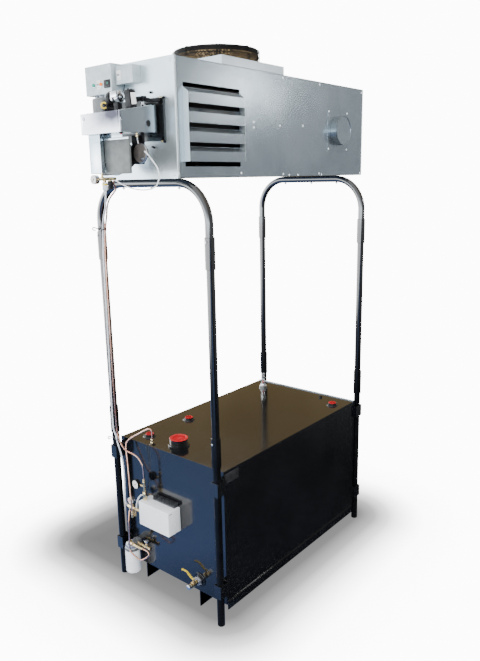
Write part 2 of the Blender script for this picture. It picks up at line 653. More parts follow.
BLACK_GLOSS = new_material("black_gloss_paint", (0.012, 0.013, 0.016), 0.18, 0.1)
GALVANISED = new_material("galvanised_steel", (0.56, 0.60, 0.63), 0.38, 0.85)
BRIGHT_STEEL = new_material("bright_steel", (0.74, 0.77, 0.80), 0.16, 0.95)
BLACK_WIRE = new_material("black_wire", (0.02, 0.02, 0.02), 0.35, 0.4)
GREY_PAINT = new_material("grey_paint", (0.55, 0.60, 0.63), 0.45, 0.1)
DARK_GREY = new_material("dark_grey_plastic", (0.10, 0.11, 0.12), 0.5, 0.0)
BLACK_PLASTIC = new_material("black_plastic", (0.02, 0.02, 0.022), 0.45, 0.0)
RED_PLASTIC = new_material("red_plastic", (0.62, 0.03, 0.03), 0.35, 0.0)
BRASS = new_material("brass", (0.72, 0.55, 0.28), 0.28, 0.95)
COPPER = new_material("copper", (0.72, 0.40, 0.27), 0.32, 0.95)
CLEAR_HOSE = new_material("clear_hose", (0.80, 0.84, 0.87), 0.30, 0.0)
WHITE_PAINT = new_material("white_paint", (0.82, 0.84, 0.87), 0.25, 0.0)
DARK_STEEL = new_material("dark_steel", (0.10, 0.09, 0.08), 0.6, 0.7)
YELLOW_GRIP = new_material("yellow_grip", (0.80, 0.62, 0.05), 0.45, 0.0)
ZINC = new_material("zinc_casting", (0.50, 0.52, 0.54), 0.4, 0.8)


def place(obj, material, at=(0, 0, 0), axis="Z"):
    PARTS.objects.link(obj)
    obj.parent = ORIGIN
    obj.location = at
    obj.rotation_euler = AXIS_ROTATION[axis]
    obj.data.materials.clear()
    obj.data.materials.append(material)
    return obj


def shade(mesh, angle=40):
    mesh.shade_smooth()
    mesh.set_sharp_from_angle(angle=math.radians(angle))


def box(name, low, high, material, edge=0):
    centre = [(a + b) / 2 for a, b in zip(low, high)]
    size = [b - a for a, b in zip(low, high)]
    bm = bmesh.new()
    bmesh.ops.create_cube(bm, size=1, matrix=Matrix.Diagonal((*size, 1)))
    mesh = bpy.data.meshes.new(name)
    bm.to_mesh(mesh)
    bm.free()
    obj = place(bpy.data.objects.new(name, mesh), material, centre)
    if edge:
        bevel = obj.modifiers.new("edge", "BEVEL")
        bevel.width = edge
        bevel.segments = 3
        bevel.use_clamp_overlap = True
        bevel.limit_method = "ANGLE"
    return obj


def turned(name, profile, material, at, axis="Z", steps=24, ring=False):
    # The profile is (radius, height) points, down the outer side. A ring
    # profile closes on itself and leaves a bore.
    mesh = bpy.data.meshes.new(name)
    points = [(radius, 0, height) for radius, height in profile]
    edges = [(i, i + 1) for i in range(len(points) - 1)]
    if ring:
        edges.append((len(points) - 1, 0))
    mesh.from_pydata(points, edges, [])
    obj = place(bpy.data.objects.new(name, mesh), material, at, axis)
    screw = obj.modifiers.new("turn", "SCREW")
    screw.angle = 2 * math.pi
    screw.steps = steps
    screw.render_steps = steps
    screw.use_merge_vertices = True
    screw.merge_threshold = MERGE
    screw.use_smooth_shade = True
    return obj


def cylinder(name, radius, length, material, at, axis="Z", steps=24):
    return turned(name, [(0, length), (radius, length), (radius, 0), (0, 0)], material, at, axis, steps)


def hexagon(name, across, length, material, at, axis="Z"):
    return cylinder(name, across, length, material, at, axis, 6)


def hide_tool(tool):
    PARTS.objects.unlink(tool)
    CUTTERS.objects.link(tool)
    tool.hide_render = True
    tool.display_type = "WIRE"


def cut(obj, tool):
    step = obj.modifiers.new("cut", "BOOLEAN")
    step.operation = "DIFFERENCE"
    step.object = tool
    hide_tool(tool)


def join(obj, piece):
    step = obj.modifiers.new("join", "BOOLEAN")
    step.operation = "UNION"
    step.object = piece
    hide_tool(piece)


def rounded(corners, radius, steps):
    # A path through the corners, each inner corner an arc of the radius.
    path = [Vector(corners[0])]
    for before, corner, after in zip(corners, corners[1:], corners[2:]):
        corner = Vector(corner)
        back = (Vector(before) - corner).normalized()
        ahead = (Vector(after) - corner).normalized()
        half = back.angle(ahead) / 2
        reach = radius / math.tan(half)
        centre = corner + (back + ahead).normalized() * radius / math.sin(half)
        start = corner + back * reach - centre
        end = corner + ahead * reach - centre
        for i in range(steps + 1):
            path.append(centre + start.normalized().slerp(end.normalized(), i / steps) * radius)
    path.append(Vector(corners[-1]))
    return path


def smooth_route(points, step):
    # A Catmull-Rom curve through the points, sampled about every step.
    points = [Vector(p) for p in points]
    first = points[0] * 2 - points[1]
    last = points[-1] * 2 - points[-2]
    chain = [first] + points + [last]
    path = []
    for a, b, c, d in zip(chain, chain[1:], chain[2:], chain[3:]):
        count = max(1, min(ROUTE_MOST_STEPS, round((c - b).length / step)))
        for i in range(count):
            t = i / count
            path.append(0.5 * (2 * b + (c - a) * t + (2 * a - 5 * b + 4 * c - d) * t**2
                               + (3 * b - a - 3 * c + d) * t**3))
    path.append(points[-1])
    return path


def tube(name, path, radius, material, resolution=1, caps=True):
    curve = bpy.data.curves.new(name, "CURVE")
    curve.dimensions = "3D"
    curve.bevel_depth = radius
    curve.bevel_resolution = resolution
    curve.use_fill_caps = caps
    spline = curve.splines.new("POLY")
    spline.points.add(len(path) - 1)
    for point, co in zip(spline.points, path):
        point.co = (*co, 1)
    return place(bpy.data.objects.new(name, curve), material)


def mesh_from(obj, merge=MERGE):
    # The evaluated curve as a mesh object in the same place, its caps welded.
    bpy.context.view_layer.update()
    graph = bpy.context.evaluated_depsgraph_get()
    mesh = bpy.data.meshes.new_from_object(obj.evaluated_get(graph))
    bm = bmesh.new()
    bm.from_mesh(mesh)
    bmesh.ops.remove_doubles(bm, verts=bm.verts, dist=merge)
    bm.to_mesh(mesh)
    bm.free()
    name = obj.name
    material = obj.data.materials[0]
    matrix = obj.matrix_local.copy()
    bpy.data.objects.remove(obj, do_unlink=True)
    made = place(bpy.data.objects.new(name, mesh), material)
    made.matrix_local = matrix
    return made


def plate(name, outline, thickness, material, at=(0, 0, 0), axis="Z"):
    # A flat outline in local X and Y, its thickness centred on local Z.
    curve = bpy.data.curves.new(name, "CURVE")
    curve.dimensions = "2D"
    curve.fill_mode = "BOTH"
    curve.extrude = thickness / 2
    spline = curve.splines.new("POLY")
    spline.points.add(len(outline) - 1)
    for point, (x, y) in zip(spline.points, outline):
        point.co = (x, y, 0, 1)
    spline.use_cyclic_u = True
    return mesh_from(place(bpy.data.objects.new(name, curve), material, at, axis))


# Tank and its fittings

def tank_shell():
    inner_x = TANK_END_X - TANK_END_THICK
    wrap_y = TANK_SIDE_Y - TANK_LIP
    shell = box("tank_shell", (-TANK_END_X, -TANK_SIDE_Y, TANK_BASE_Z),
                (TANK_END_X, TANK_SIDE_Y, TANK_TOP_Z), BLACK_GLOSS)
    for side in (-1, 1):
        low_y, high_y = sorted((side * wrap_y, side * (TANK_SIDE_Y + OVERRUN)))
        cut(shell, box("side_trim", (-inner_x, low_y, TANK_BASE_Z - OVERRUN),
                       (inner_x, high_y, TANK_TOP_Z + OVERRUN), BLACK_GLOSS))
    cut(shell, box("top_trim", (-inner_x, -TANK_WIDTH, TANK_TOP_Z - TANK_LIP),
                   (inner_x, TANK_WIDTH, TANK_TOP_Z + OVERRUN), BLACK_GLOSS))
    hollow_x = inner_x
    hollow_y = wrap_y - TANK_WALL
    cut(shell, box("tank_hollow", (-hollow_x, -hollow_y, TANK_BASE_Z + TANK_WALL),
                   (hollow_x, hollow_y, TANK_TOP_Z - TANK_LIP - TANK_WALL), BLACK_GLOSS))
    for side in (-1, 1):
        low_y, high_y = sorted((side * (wrap_y - WELD_SINK), side * (wrap_y + RAIL_PROUD)))
        join(shell, box("base_rail", (-TANK_END_X + RAIL_INSET, low_y, TANK_BASE_Z - RAIL_DROP),
                        (TANK_END_X - RAIL_INSET, high_y, TANK_BASE_Z - RAIL_DROP + RAIL_HEIGHT), BLACK_GLOSS))
    for end in (-1, 1):
        for side in (-1, 1):
            for base in (CLIP_LOW_Z, CLIP_HIGH_Z):
                join(shell, post_clip(end, side, base))
    add_bungs(shell)
    return shell


def post_clip(end, side, base):
    # A folded sheet clip on the end plate that holds a post.
    half = TUBE_R + GAP + CLIP_WALL
    low_x, high_x = sorted((end * (TANK_END_X - WELD_SINK), end * (LEG_X + half)))
    clip = box("post_clip", (low_x, side * LEG_Y - half, base),
               (high_x, side * LEG_Y + half, base + CLIP_HEIGHT), BLACK_GLOSS)
    inside = TUBE_R + GAP
    low_x, high_x = sorted((end * (TANK_END_X + CLIP_WALL), end * (LEG_X + inside)))
    cut(clip, box("clip_hollow", (low_x, side * LEG_Y - inside, base - OVERRUN),
                  (high_x, side * LEG_Y + inside, base + CLIP_HEIGHT + OVERRUN), BLACK_GLOSS))
    return clip


def bung_places():
    return {
        "bung_plug_front": (BUNG_FRONT_X, BUNG_ROW_Y),
        "bung_plug_middle": (BUNG_MIDDLE_X, BUNG_ROW_Y),
        "bung_plug_rear": (BUNG_REAR_X, BUNG_REAR_Y),
    }


def add_bungs(shell):
    base = TANK_TOP_Z - TANK_LIP
    for x, y in bung_places().values():
        profile = [(0, BUNG_HEIGHT), (BUNG_STEP_R, BUNG_HEIGHT), (BUNG_STEP_R, BUNG_STEP_HEIGHT),
                   (BUNG_R, BUNG_STEP_HEIGHT), (BUNG_R, -WELD_SINK), (0, -WELD_SINK)]
        join(shell, turned("bung_flange", profile, BLACK_GLOSS, (x, y, base), steps=20))
        cut(shell, cylinder("bung_bore", BUNG_BORE_R, BUNG_HEIGHT + 2 * OVERRUN, BLACK_GLOSS,
                            (x, y, base - OVERRUN), steps=20))
    cut(shell, cylinder("fill_hole", FILL_BORE_R, 2 * OVERRUN, BLACK_GLOSS,
                        (FILL_X, FILL_Y, base - OVERRUN), steps=24))
    join(shell, cylinder("vent_plug", VENT_R, VENT_HEIGHT + WELD_SINK, BLACK_GLOSS,
                         (VENT_X, VENT_Y, base - WELD_SINK), steps=12))


def tank_skids():
    # Steel angles under the tank, the web upright and the flange on top.
    top = TANK_BASE_Z - GAP
    for name, centre in (("tank_skid_left", SKID_Y), ("tank_skid_right", -SKID_Y)):
        high_y = centre + SKID_FLANGE / 2
        skid = box(name, (-TANK_END_X, high_y - SKID_WEB, 0), (TANK_END_X, high_y, top), BLACK_GLOSS)
        join(skid, box("skid_flange", (-TANK_END_X + SKID_WEB, high_y - SKID_FLANGE, top - SKID_WEB),
                       (TANK_END_X - SKID_WEB, high_y - SKID_WEB / 2, top - WELD_SINK / 2), BLACK_GLOSS))


def fill_collar():
    base = TANK_TOP_Z - TANK_LIP + GAP
    profile = [(FILL_BORE_R, 0), (FILL_BORE_R, FILL_HEIGHT), (FILL_RIM_R, FILL_HEIGHT)]
    ribs = int((FILL_HEIGHT - FILL_FOOT_HEIGHT) / FILL_RIB_STEP)
    band, start, end = FILL_RIB_SHARES
    for i in range(ribs):
        top = FILL_HEIGHT - i * FILL_RIB_STEP
        profile.append((FILL_RIM_R, top - FILL_RIB_STEP * band))
        profile.append((FILL_RIM_R - FILL_RIB_DEPTH, top - FILL_RIB_STEP * start))
        profile.append((FILL_RIM_R - FILL_RIB_DEPTH, top - FILL_RIB_STEP * end))
        profile.append((FILL_RIM_R, top - FILL_RIB_STEP))
    profile += [(FILL_RIM_R, FILL_FOOT_HEIGHT), (FILL_FOOT_R, FILL_FOOT_HEIGHT), (FILL_FOOT_R, 0)]
    turned("fill_collar", profile, BLACK_GLOSS, (FILL_X, FILL_Y, base), ring=True)


def fill_plug():
    # A dished red cap pushed into the collar.
    base = TANK_TOP_Z - TANK_LIP + GAP + FILL_HEIGHT + GAP
    outer = FILL_BORE_R - GAP
    inner = outer - FILL_PLUG_WALL
    floor = -FILL_PLUG_DEPTH
    profile = [(0, floor + FILL_PLUG_WALL), (inner, floor + FILL_PLUG_WALL), (inner, FILL_PLUG_LIP),
               (FILL_RIM_R, FILL_PLUG_LIP), (FILL_RIM_R, 0), (outer, 0), (outer, floor), (0, floor)]
    turned("fill_plug", profile, RED_PLASTIC, (FILL_X, FILL_Y, base))


def bung_plugs():
    base = TANK_TOP_Z - TANK_LIP + BUNG_HEIGHT + GAP
    outer = BUNG_BORE_R - GAP
    inner = outer - PLUG_WALL
    floor = -PLUG_DEPTH
    for name, (x, y) in bung_places().items():
        profile = [(0, PLUG_FLANGE), (PLUG_GRIP_R, PLUG_FLANGE), (PLUG_GRIP_R, floor + PLUG_WALL),
                   (inner, floor + PLUG_WALL), (inner, PLUG_FLANGE), (PLUG_FLANGE_R, PLUG_FLANGE),
                   (PLUG_FLANGE_R, 0), (outer, 0), (outer, floor), (0, floor)]
        turned(name, profile, RED_PLASTIC, (x, y, base), steps=20)


def level_gauge():
    base = TANK_TOP_Z - TANK_LIP + GAP
    nut_top = LEVEL_FOOT_HEIGHT + LEVEL_NUT_HEIGHT
    top = nut_top + LEVEL_VIAL_HEIGHT
    bore = LEVEL_VIAL_R - LEVEL_VIAL_WALL
    profile = [(0, top), (LEVEL_VIAL_R, top), (LEVEL_VIAL_R, nut_top), (LEVEL_NUT_R, nut_top),
               (LEVEL_NUT_R, LEVEL_FOOT_HEIGHT), (LEVEL_FOOT_R, LEVEL_FOOT_HEIGHT), (LEVEL_FOOT_R, 0),
               (bore, 0), (bore, top - LEVEL_VIAL_WALL), (0, top - LEVEL_VIAL_WALL)]
    turned("level_gauge", profile, CLEAR_HOSE, (LEVEL_X, LEVEL_Y, base), steps=20)
    low = base + nut_top + GAP
    cylinder("level_float", LEVEL_FLOAT_R, LEVEL_FLOAT_HEIGHT, RED_PLASTIC, (LEVEL_X, LEVEL_Y, low), steps=12)


# Stand

def leg(name, end, side):
    # A post from the floor, its lower coupling and the upper socket.
    inner = TUBE_R - TUBE_WALL
    socket = TUBE_R + GAP
    top = UPPER_SLEEVE_Z + UPPER_SLEEVE_LENGTH
    floor = top - SOCKET_DEPTH
    low_top = LOWER_SLEEVE_Z + LOWER_SLEEVE_LENGTH
    profile = [(inner, 0), (inner, floor), (socket, floor), (socket, top), (SLEEVE_R, top),
               (SLEEVE_R, UPPER_SLEEVE_Z), (TUBE_R, UPPER_SLEEVE_Z), (TUBE_R, low_top),
               (SLEEVE_R, low_top), (SLEEVE_R, LOWER_SLEEVE_Z), (TUBE_R, LOWER_SLEEVE_Z), (TUBE_R, 0)]
    turned(name, profile, BLACK_GLOSS, (end * LEG_X, side * LEG_Y, 0), steps=20, ring=True)


def legs():
    leg("leg_front_right", -1, -1)
    leg("leg_front_left", -1, 1)
    leg("leg_rear_right", 1, -1)
    leg("leg_rear_left", 1, 1)


def u_frame(name, end):
    foot = UPPER_SLEEVE_Z + UPPER_SLEEVE_LENGTH - SOCKET_DEPTH + GAP
    x = end * LEG_X
    corners = [(x, -LEG_Y, foot), (x, -LEG_Y, FRAME_BAR_Z), (x, LEG_Y, FRAME_BAR_Z), (x, LEG_Y, foot)]
    path = rounded(corners, FRAME_BEND_R, FRAME_BEND_STEPS)
    frame = tube(name, path, TUBE_R, BLACK_GLOSS, resolution=4, caps=False)
    wall = frame.modifiers.new("wall", "SOLIDIFY")
    wall.thickness = TUBE_WALL
    wall.offset = -1


# Cabinet

def cabinet_shell():
    # The left side, top, floor and rear end of the cabinet in folded sheet.
    shell = box("cabinet_shell", (CABINET_FRONT_X + SHEET + GAP, -CABINET_HALF_Y, CABINET_BASE_Z),
                (CABINET_REAR_X, CABINET_HALF_Y, CABINET_TOP_Z), GALVANISED)
    cut(shell, box("cabinet_room", (CABINET_FRONT_X - OVERRUN, -CABINET_HALF_Y - OVERRUN, CABINET_BASE_Z + SHEET),
                   (CABINET_REAR_X - SHEET, CABINET_HALF_Y - SHEET, CABINET_TOP_Z - SHEET), GALVANISED))
    cut(shell, cylinder("fan_way", FAN_ORIFICE_R, 2 * OVERRUN, GALVANISED,
                        (FAN_X, FAN_Y, CABINET_TOP_Z - OVERRUN), steps=32))


def cabinet_front_panel():
    # The burner end, a pan whose edges fold back over the cabinet.
    fold = GAP + SHEET
    panel = box("cabinet_front_panel", (CABINET_FRONT_X, -CABINET_HALF_Y - fold, CABINET_BASE_Z - fold),
                (CABINET_FRONT_X + CAP_RETURN, CABINET_HALF_Y + fold, CABINET_TOP_Z + fold), GALVANISED)
    cut(panel, box("panel_room", (CABINET_FRONT_X + SHEET, -CABINET_HALF_Y - GAP, CABINET_BASE_Z - GAP),
                   (CABINET_FRONT_X + OVERRUN, CABINET_HALF_Y + GAP, CABINET_TOP_Z + GAP), GALVANISED))
    cut(panel, cylinder("tube_way", BLAST_TUBE_R + GAP, 2 * OVERRUN, GALVANISED,
                        (CABINET_FRONT_X - OVERRUN, DRUM_Y, DRUM_Z), "X"))


def cabinet_side_panel():
    # The right side, between the shell's floor and top, with its two holes.
    low = (CABINET_FRONT_X + SHEET + GAP, -CABINET_HALF_Y, CABINET_BASE_Z + SHEET + GAP)
    high = (CABINET_REAR_X - SHEET - GAP, -CABINET_HALF_Y + SHEET, CABINET_TOP_Z - SHEET - GAP)
    panel = box("cabinet_side_panel", low, high, GALVANISED)
    cut(panel, box("louvre_way", (LOUVRE_LEFT_X, -CABINET_HALF_Y - OVERRUN, LOUVRE_BOTTOM_Z),
                   (LOUVRE_RIGHT_X, -CABINET_HALF_Y + OVERRUN, LOUVRE_TOP_Z), GALVANISED))
    cut(panel, cylinder("flue_way", FLUE_R + GAP, 2 * OVERRUN, GALVANISED,
                        (FLUE_X, -CABINET_HALF_Y + OVERRUN, DRUM_Z), "-Y", 32))


def louvre_blade_outline(outer_y, inner_y, lip_z):
    # The upright lip and the slope that runs back up behind it.
    slope_z = lip_z + LOUVRE_LIP
    top_z = slope_z + LOUVRE_SLOPE_RISE
    run = inner_y - outer_y
    lean = math.atan2(LOUVRE_SLOPE_RISE, run)
    drop = SHEET / math.cos(lean)
    return [(outer_y, lip_z), (outer_y + SHEET, lip_z), (outer_y + SHEET, slope_z - drop + SHEET * math.tan(lean)),
            (inner_y, top_z - drop), (inner_y, top_z), (outer_y, slope_z)]


def louvre_panel():
    outer = -CABINET_HALF_Y - GAP - SHEET
    inner = -CABINET_HALF_Y - GAP
    panel = box("louvre_panel", (LOUVRE_PANEL_LEFT_X, outer, LOUVRE_PANEL_BOTTOM_Z),
                (LOUVRE_PANEL_RIGHT_X, inner, LOUVRE_PANEL_TOP_Z), GALVANISED)
    cut(panel, box("louvre_hole", (LOUVRE_LEFT_X, outer - OVERRUN, LOUVRE_BOTTOM_Z),
                   (LOUVRE_RIGHT_X, inner + OVERRUN, LOUVRE_TOP_Z), GALVANISED))
    tip = inner - LOUVRE_PROUD
    lip_top = LOUVRE_FIRST_LIP_Z + (LOUVRE_COUNT - 1) * LOUVRE_PITCH + LOUVRE_LIP
    cheek_top = lip_top + LOUVRE_SLOPE_RISE
    margin = 2 * WELD_SINK
    low_z = LOUVRE_FIRST_LIP_Z - margin
    cheek = [(tip, low_z), (inner - SHEET / 2, low_z), (inner - SHEET / 2, cheek_top + margin), (tip, lip_top + margin)]
    for x in (LOUVRE_LEFT_X - SHEET, LOUVRE_RIGHT_X + SHEET):
        join(panel, in_side_plane("louvre_cheek", cheek, SHEET, x))
    middle = (LOUVRE_LEFT_X + LOUVRE_RIGHT_X) / 2
    span = LOUVRE_RIGHT_X - LOUVRE_LEFT_X + 2 * SHEET
    for i in range(LOUVRE_COUNT):
        outline = louvre_blade_outline(tip + WELD_SINK, inner - SHEET / 3, LOUVRE_FIRST_LIP_Z + i * LOUVRE_PITCH)
        join(panel, in_side_plane("louvre_blade", outline, span, middle))


def in_side_plane(name, outline, thickness, x):
    # An outline of (y, z) points, its thickness along X about the given x.
    piece = plate(name, outline, thickness, GALVANISED)
    piece.matrix_local = Matrix(((0, 0, 1, x), (1, 0, 0, 0), (0, 1, 0, 0), (0, 0, 0, 1)))
    return piece


def fan_box():
    base = CABINET_TOP_Z + GAP
    low = (FAN_X - FAN_BOX_SIZE_X / 2, -CABINET_HALF_Y, base)
    high = (FAN_X + FAN_BOX_SIZE_X / 2, -CABINET_HALF_Y + FAN_BOX_SIZE_Y, FAN_BOX_TOP_Z)
    casing = box("fan_box", low, high, GALVANISED)
    cut(casing, box("fan_room", (low[0] + SHEET, low[1] + SHEET, base - OVERRUN),
                    (high[0] - SHEET, high[1] - SHEET, FAN_BOX_TOP_Z - SHEET), GALVANISED))
    cut(casing, cylinder("orifice", FAN_ORIFICE_R, 2 * OVERRUN, GALVANISED,
                         (FAN_X, FAN_Y, FAN_BOX_TOP_Z - OVERRUN), steps=32))


def fan_blade_mesh():
    # One blade: a cambered sheet that widens, twists and sweeps to its tip.
    bm = bmesh.new()
    rows = 4
    columns = 4
    grid = []
    for i in range(rows + 1):
        share = i / rows
        root = FAN_HUB_R * FAN_ROOT_SHARE
        radius = root + (FAN_TIP_R - root) * share
        width = FAN_BLADE_ROOT_WIDTH + (FAN_BLADE_TIP_WIDTH - FAN_BLADE_ROOT_WIDTH) * share
        pitch = math.radians(FAN_PITCH * (FAN_ROOT_PITCH_SHARE - FAN_TWIST_SHARE * share))
        row = []
        for j in range(columns + 1):
            across = j / columns - 0.5
            flat = across * width * math.cos(pitch)
            rise = across * width * math.sin(pitch) + FAN_BLADE_CAMBER * (0.5**2 - across**2)
            angle = flat / radius * FAN_CURL_SHARE + math.radians(FAN_BLADE_SWEEP) * share
            reach = math.sqrt(radius**2 - (flat * FAN_DISH_SHARE)**2)
            row.append(bm.verts.new((reach * math.cos(angle), reach * math.sin(angle), rise)))
        grid.append(row)
    for i in range(rows):
        for j in range(columns):
            bm.faces.new((grid[i][j], grid[i + 1][j], grid[i + 1][j + 1], grid[i][j + 1]))
    bmesh.ops.recalc_face_normals(bm, faces=bm.faces)
    mesh = bpy.data.meshes.new("fan_vane")
    bm.to_mesh(mesh)
    bm.free()
    return mesh


def fan_blade():
    half = FAN_HUB_HEIGHT / 2
    profile = [(FAN_BORE_R, -half), (FAN_BORE_R, half), (FAN_HUB_R, half), (FAN_HUB_R, -half)]
    wheel = turned("fan_blade", profile, BRIGHT_STEEL, (FAN_X, FAN_Y, FAN_BLADE_Z), ring=True)
    mesh = fan_blade_mesh()
    for i in range(FAN_BLADES):
        vane = place(bpy.data.objects.new("fan_vane", mesh), BRIGHT_STEEL, (FAN_X, FAN_Y, FAN_BLADE_Z))
        vane.rotation_euler = (0, 0, 2 * math.pi * i / FAN_BLADES)
        wall = vane.modifiers.new("wall", "SOLIDIFY")
        wall.thickness = FAN_BLADE_THICK
        wall.offset = 0
        join(wheel, vane)


def fan_motor():
    # Hung from the middle of the guard, its shaft down through the fan's hub.
    top = FAN_BOX_TOP_Z + GUARD_HEIGHT - GUARD_WIRE - GAP
    height = FAN_MOTOR_HEIGHT
    shaft = top - (FAN_BLADE_Z - FAN_HUB_HEIGHT / 2)
    profile = [(0, 0), (FAN_MOTOR_BELL_R, 0), (FAN_MOTOR_R, -FAN_MOTOR_BELL),
               (FAN_MOTOR_R, FAN_MOTOR_BELL - height), (FAN_MOTOR_BELL_R, -height),
               (MOTOR_SHAFT_R, -height), (MOTOR_SHAFT_R, -shaft), (0, -shaft)]
    turned("fan_motor", profile, BRIGHT_STEEL, (FAN_X, FAN_Y, top))


def fan_guard():
    # Rings and ribs of welded wire: a round cage, open below.
    half = GUARD_WIRE / 2
    top = GUARD_HEIGHT - half
    rim = GUARD_R - half
    rings = []
    for i in range(GUARD_SIDE_RINGS):
        rings.append((rim, half + GAP + (top - half - GAP) * i / GUARD_SIDE_RINGS))
    for i in range(GUARD_TOP_RINGS):
        rings.append((rim + (GUARD_HUB_R - rim) * i / (GUARD_TOP_RINGS - 1), top))
    count = GUARD_RIBS * GUARD_ARC_STEPS
    bm = bmesh.new()
    loops = []
    for radius, height in rings:
        angles = [2 * math.pi * i / count for i in range(count)]
        loops.append([bm.verts.new((radius * math.cos(a), radius * math.sin(a), height)) for a in angles])
    for lower, upper in zip(loops, loops[1:]):
        for rib in range(GUARD_RIBS):
            span = [(rib * GUARD_ARC_STEPS + i) % count for i in range(GUARD_ARC_STEPS + 1)]
            bm.faces.new([lower[i] for i in span] + [upper[i] for i in reversed(span)])
    mesh = bpy.data.meshes.new("fan_guard")
    bm.to_mesh(mesh)
    bm.free()
    guard = place(bpy.data.objects.new("fan_guard", mesh), BLACK_WIRE, (FAN_X, FAN_Y, FAN_BOX_TOP_Z))
    wires = guard.modifiers.new("wires", "WIREFRAME")
    wires.thickness = GUARD_WIRE
    wires.use_even_offset = False
    wires.use_boundary = True
    wires.use_replace = True


def heat_exchanger():
    length = DRUM_REAR_X - DRUM_FRONT_X
    inner = DRUM_R - DRUM_WALL
    rim = DRUM_R + DRUM_RIM_PROUD
    profile = [(DRUM_MOUTH_R, 0), (DRUM_MOUTH_R, DRUM_WALL), (inner, DRUM_WALL), (inner, length - DRUM_WALL),
               (0, length - DRUM_WALL)]
    outside = [(0, length), (DRUM_R, length), (DRUM_R, DRUM_RIM_WIDTH), (rim, DRUM_RIM_WIDTH), (rim, 0)]
    drum = turned("heat_exchanger", outside + profile, DARK_STEEL, (DRUM_FRONT_X, DRUM_Y, DRUM_Z), "X", steps=32)
    floor = CABINET_BASE_Z + SHEET + GAP
    for x in (DRUM_FRONT_X + SADDLE_INSET, DRUM_REAR_X - SADDLE_INSET):
        join(drum, box("saddle", (x - SADDLE_LENGTH / 2, DRUM_Y - SADDLE_WIDTH / 2, floor),
                       (x + SADDLE_LENGTH / 2, DRUM_Y + SADDLE_WIDTH / 2, DRUM_Z - DRUM_R + SADDLE_SINK), DARK_STEEL))


def flue_collar():
    face = -CABINET_HALF_Y - GAP
    collar = box("flue_collar", (FLUE_X - FLUE_PLATE_WIDTH / 2, face - SHEET, DRUM_Z - FLUE_PLATE_HEIGHT / 2),
                 (FLUE_X + FLUE_PLATE_WIDTH / 2, face, DRUM_Z + FLUE_PLATE_HEIGHT / 2), GALVANISED)
    inner = FLUE_R - FLUE_WALL
    length = FLUE_PROUD + FLUE_INWARD
    join(collar, cylinder("flue_pipe", FLUE_R, length, GALVANISED, (FLUE_X, face + FLUE_INWARD, DRUM_Z), "-Y", 32))
    cut(collar, cylinder("flue_bore", inner, length + 2 * OVERRUN, GALVANISED,
                         (FLUE_X, face + FLUE_INWARD + OVERRUN, DRUM_Z), "-Y", 32))


def flue_cap():
    # A pressed cap over the collar, its disc set a little below the rim.
    bore = FLUE_R + GAP
    outer = bore + FLUE_CAP_RIM
    disc = FLUE_CAP_DEPTH - FLUE_CAP_RECESS
    profile = [(0, disc), (outer - FLUE_CAP_RIM, disc), (outer - FLUE_CAP_RIM, FLUE_CAP_DEPTH),
               (outer, FLUE_CAP_DEPTH), (outer, 0), (bore, 0), (bore, disc - FLUE_CAP_RIM), (0, disc - FLUE_CAP_RIM)]
    turned("flue_cap", profile, GALVANISED, (FLUE_X, -CABINET_HALF_Y - 2 * GAP - SHEET, DRUM_Z), "-Y", steps=32)


# Burner

def burner_mount_plate():
    high_x = CABINET_FRONT_X - GAP
    block = box("burner_mount_plate", (high_x - BURNER_PLATE_THICK, DRUM_Y - BURNER_PLATE_WIDTH / 2, BURNER_PLATE_BOTTOM_Z),
                (high_x, DRUM_Y + BURNER_PLATE_WIDTH / 2, BURNER_PLATE_TOP_Z), BLACK_GLOSS)
    join(block, cylinder("blast_tube", BLAST_TUBE_R, BLAST_TUBE_REACH, BLACK_GLOSS,
                         (high_x - BURNER_PLATE_THICK / 2, DRUM_Y, DRUM_Z), "X"))
    cut(block, cylinder("blast_bore", BLAST_TUBE_R - BLAST_TUBE_WALL, BLAST_TUBE_REACH + 2 * OVERRUN, BLACK_GLOSS,
                        (high_x - BURNER_PLATE_THICK - OVERRUN, DRUM_Y, DRUM_Z), "X"))


def burner_hood(name, inset, front_x):
    # The burner's tapered casing, or its hollow when inset by the sheet.
    rear_x = BURNER_REAR_X - inset
    slope_top = (BURNER_TOP_REAR_Z - BURNER_TOP_FRONT_Z) / (BURNER_REAR_X - BURNER_FRONT_X)
    slope_bottom = (BURNER_BOTTOM_REAR_Z - BURNER_BOTTOM_FRONT_Z) / (BURNER_REAR_X - BURNER_FRONT_X)
    bm = bmesh.new()
    bmesh.ops.create_cube(bm, size=2)
    for vert in bm.verts:
        x = rear_x if vert.co.x > 0 else front_x
        y = DRUM_Y + vert.co.y * (BURNER_WIDTH / 2 - inset)
        top = BURNER_TOP_FRONT_Z + slope_top * (x - BURNER_FRONT_X) - inset
        bottom = BURNER_BOTTOM_FRONT_Z + slope_bottom * (x - BURNER_FRONT_X) + inset
        vert.co = (x, y, top if vert.co.z > 0 else bottom)
    upright = [e for e in bm.edges if min(v.co.x for v in e.verts) > (front_x + rear_x) / 2
               and abs(e.verts[0].co.y - e.verts[1].co.y) < MERGE]
    bmesh.ops.bevel(bm, geom=upright, offset=BURNER_CORNER_R - inset, segments=5, affect="EDGES", profile=0.5)
    mesh = bpy.data.meshes.new(name)
    bm.to_mesh(mesh)
    bm.free()
    return place(bpy.data.objects.new(name, mesh), GALVANISED)


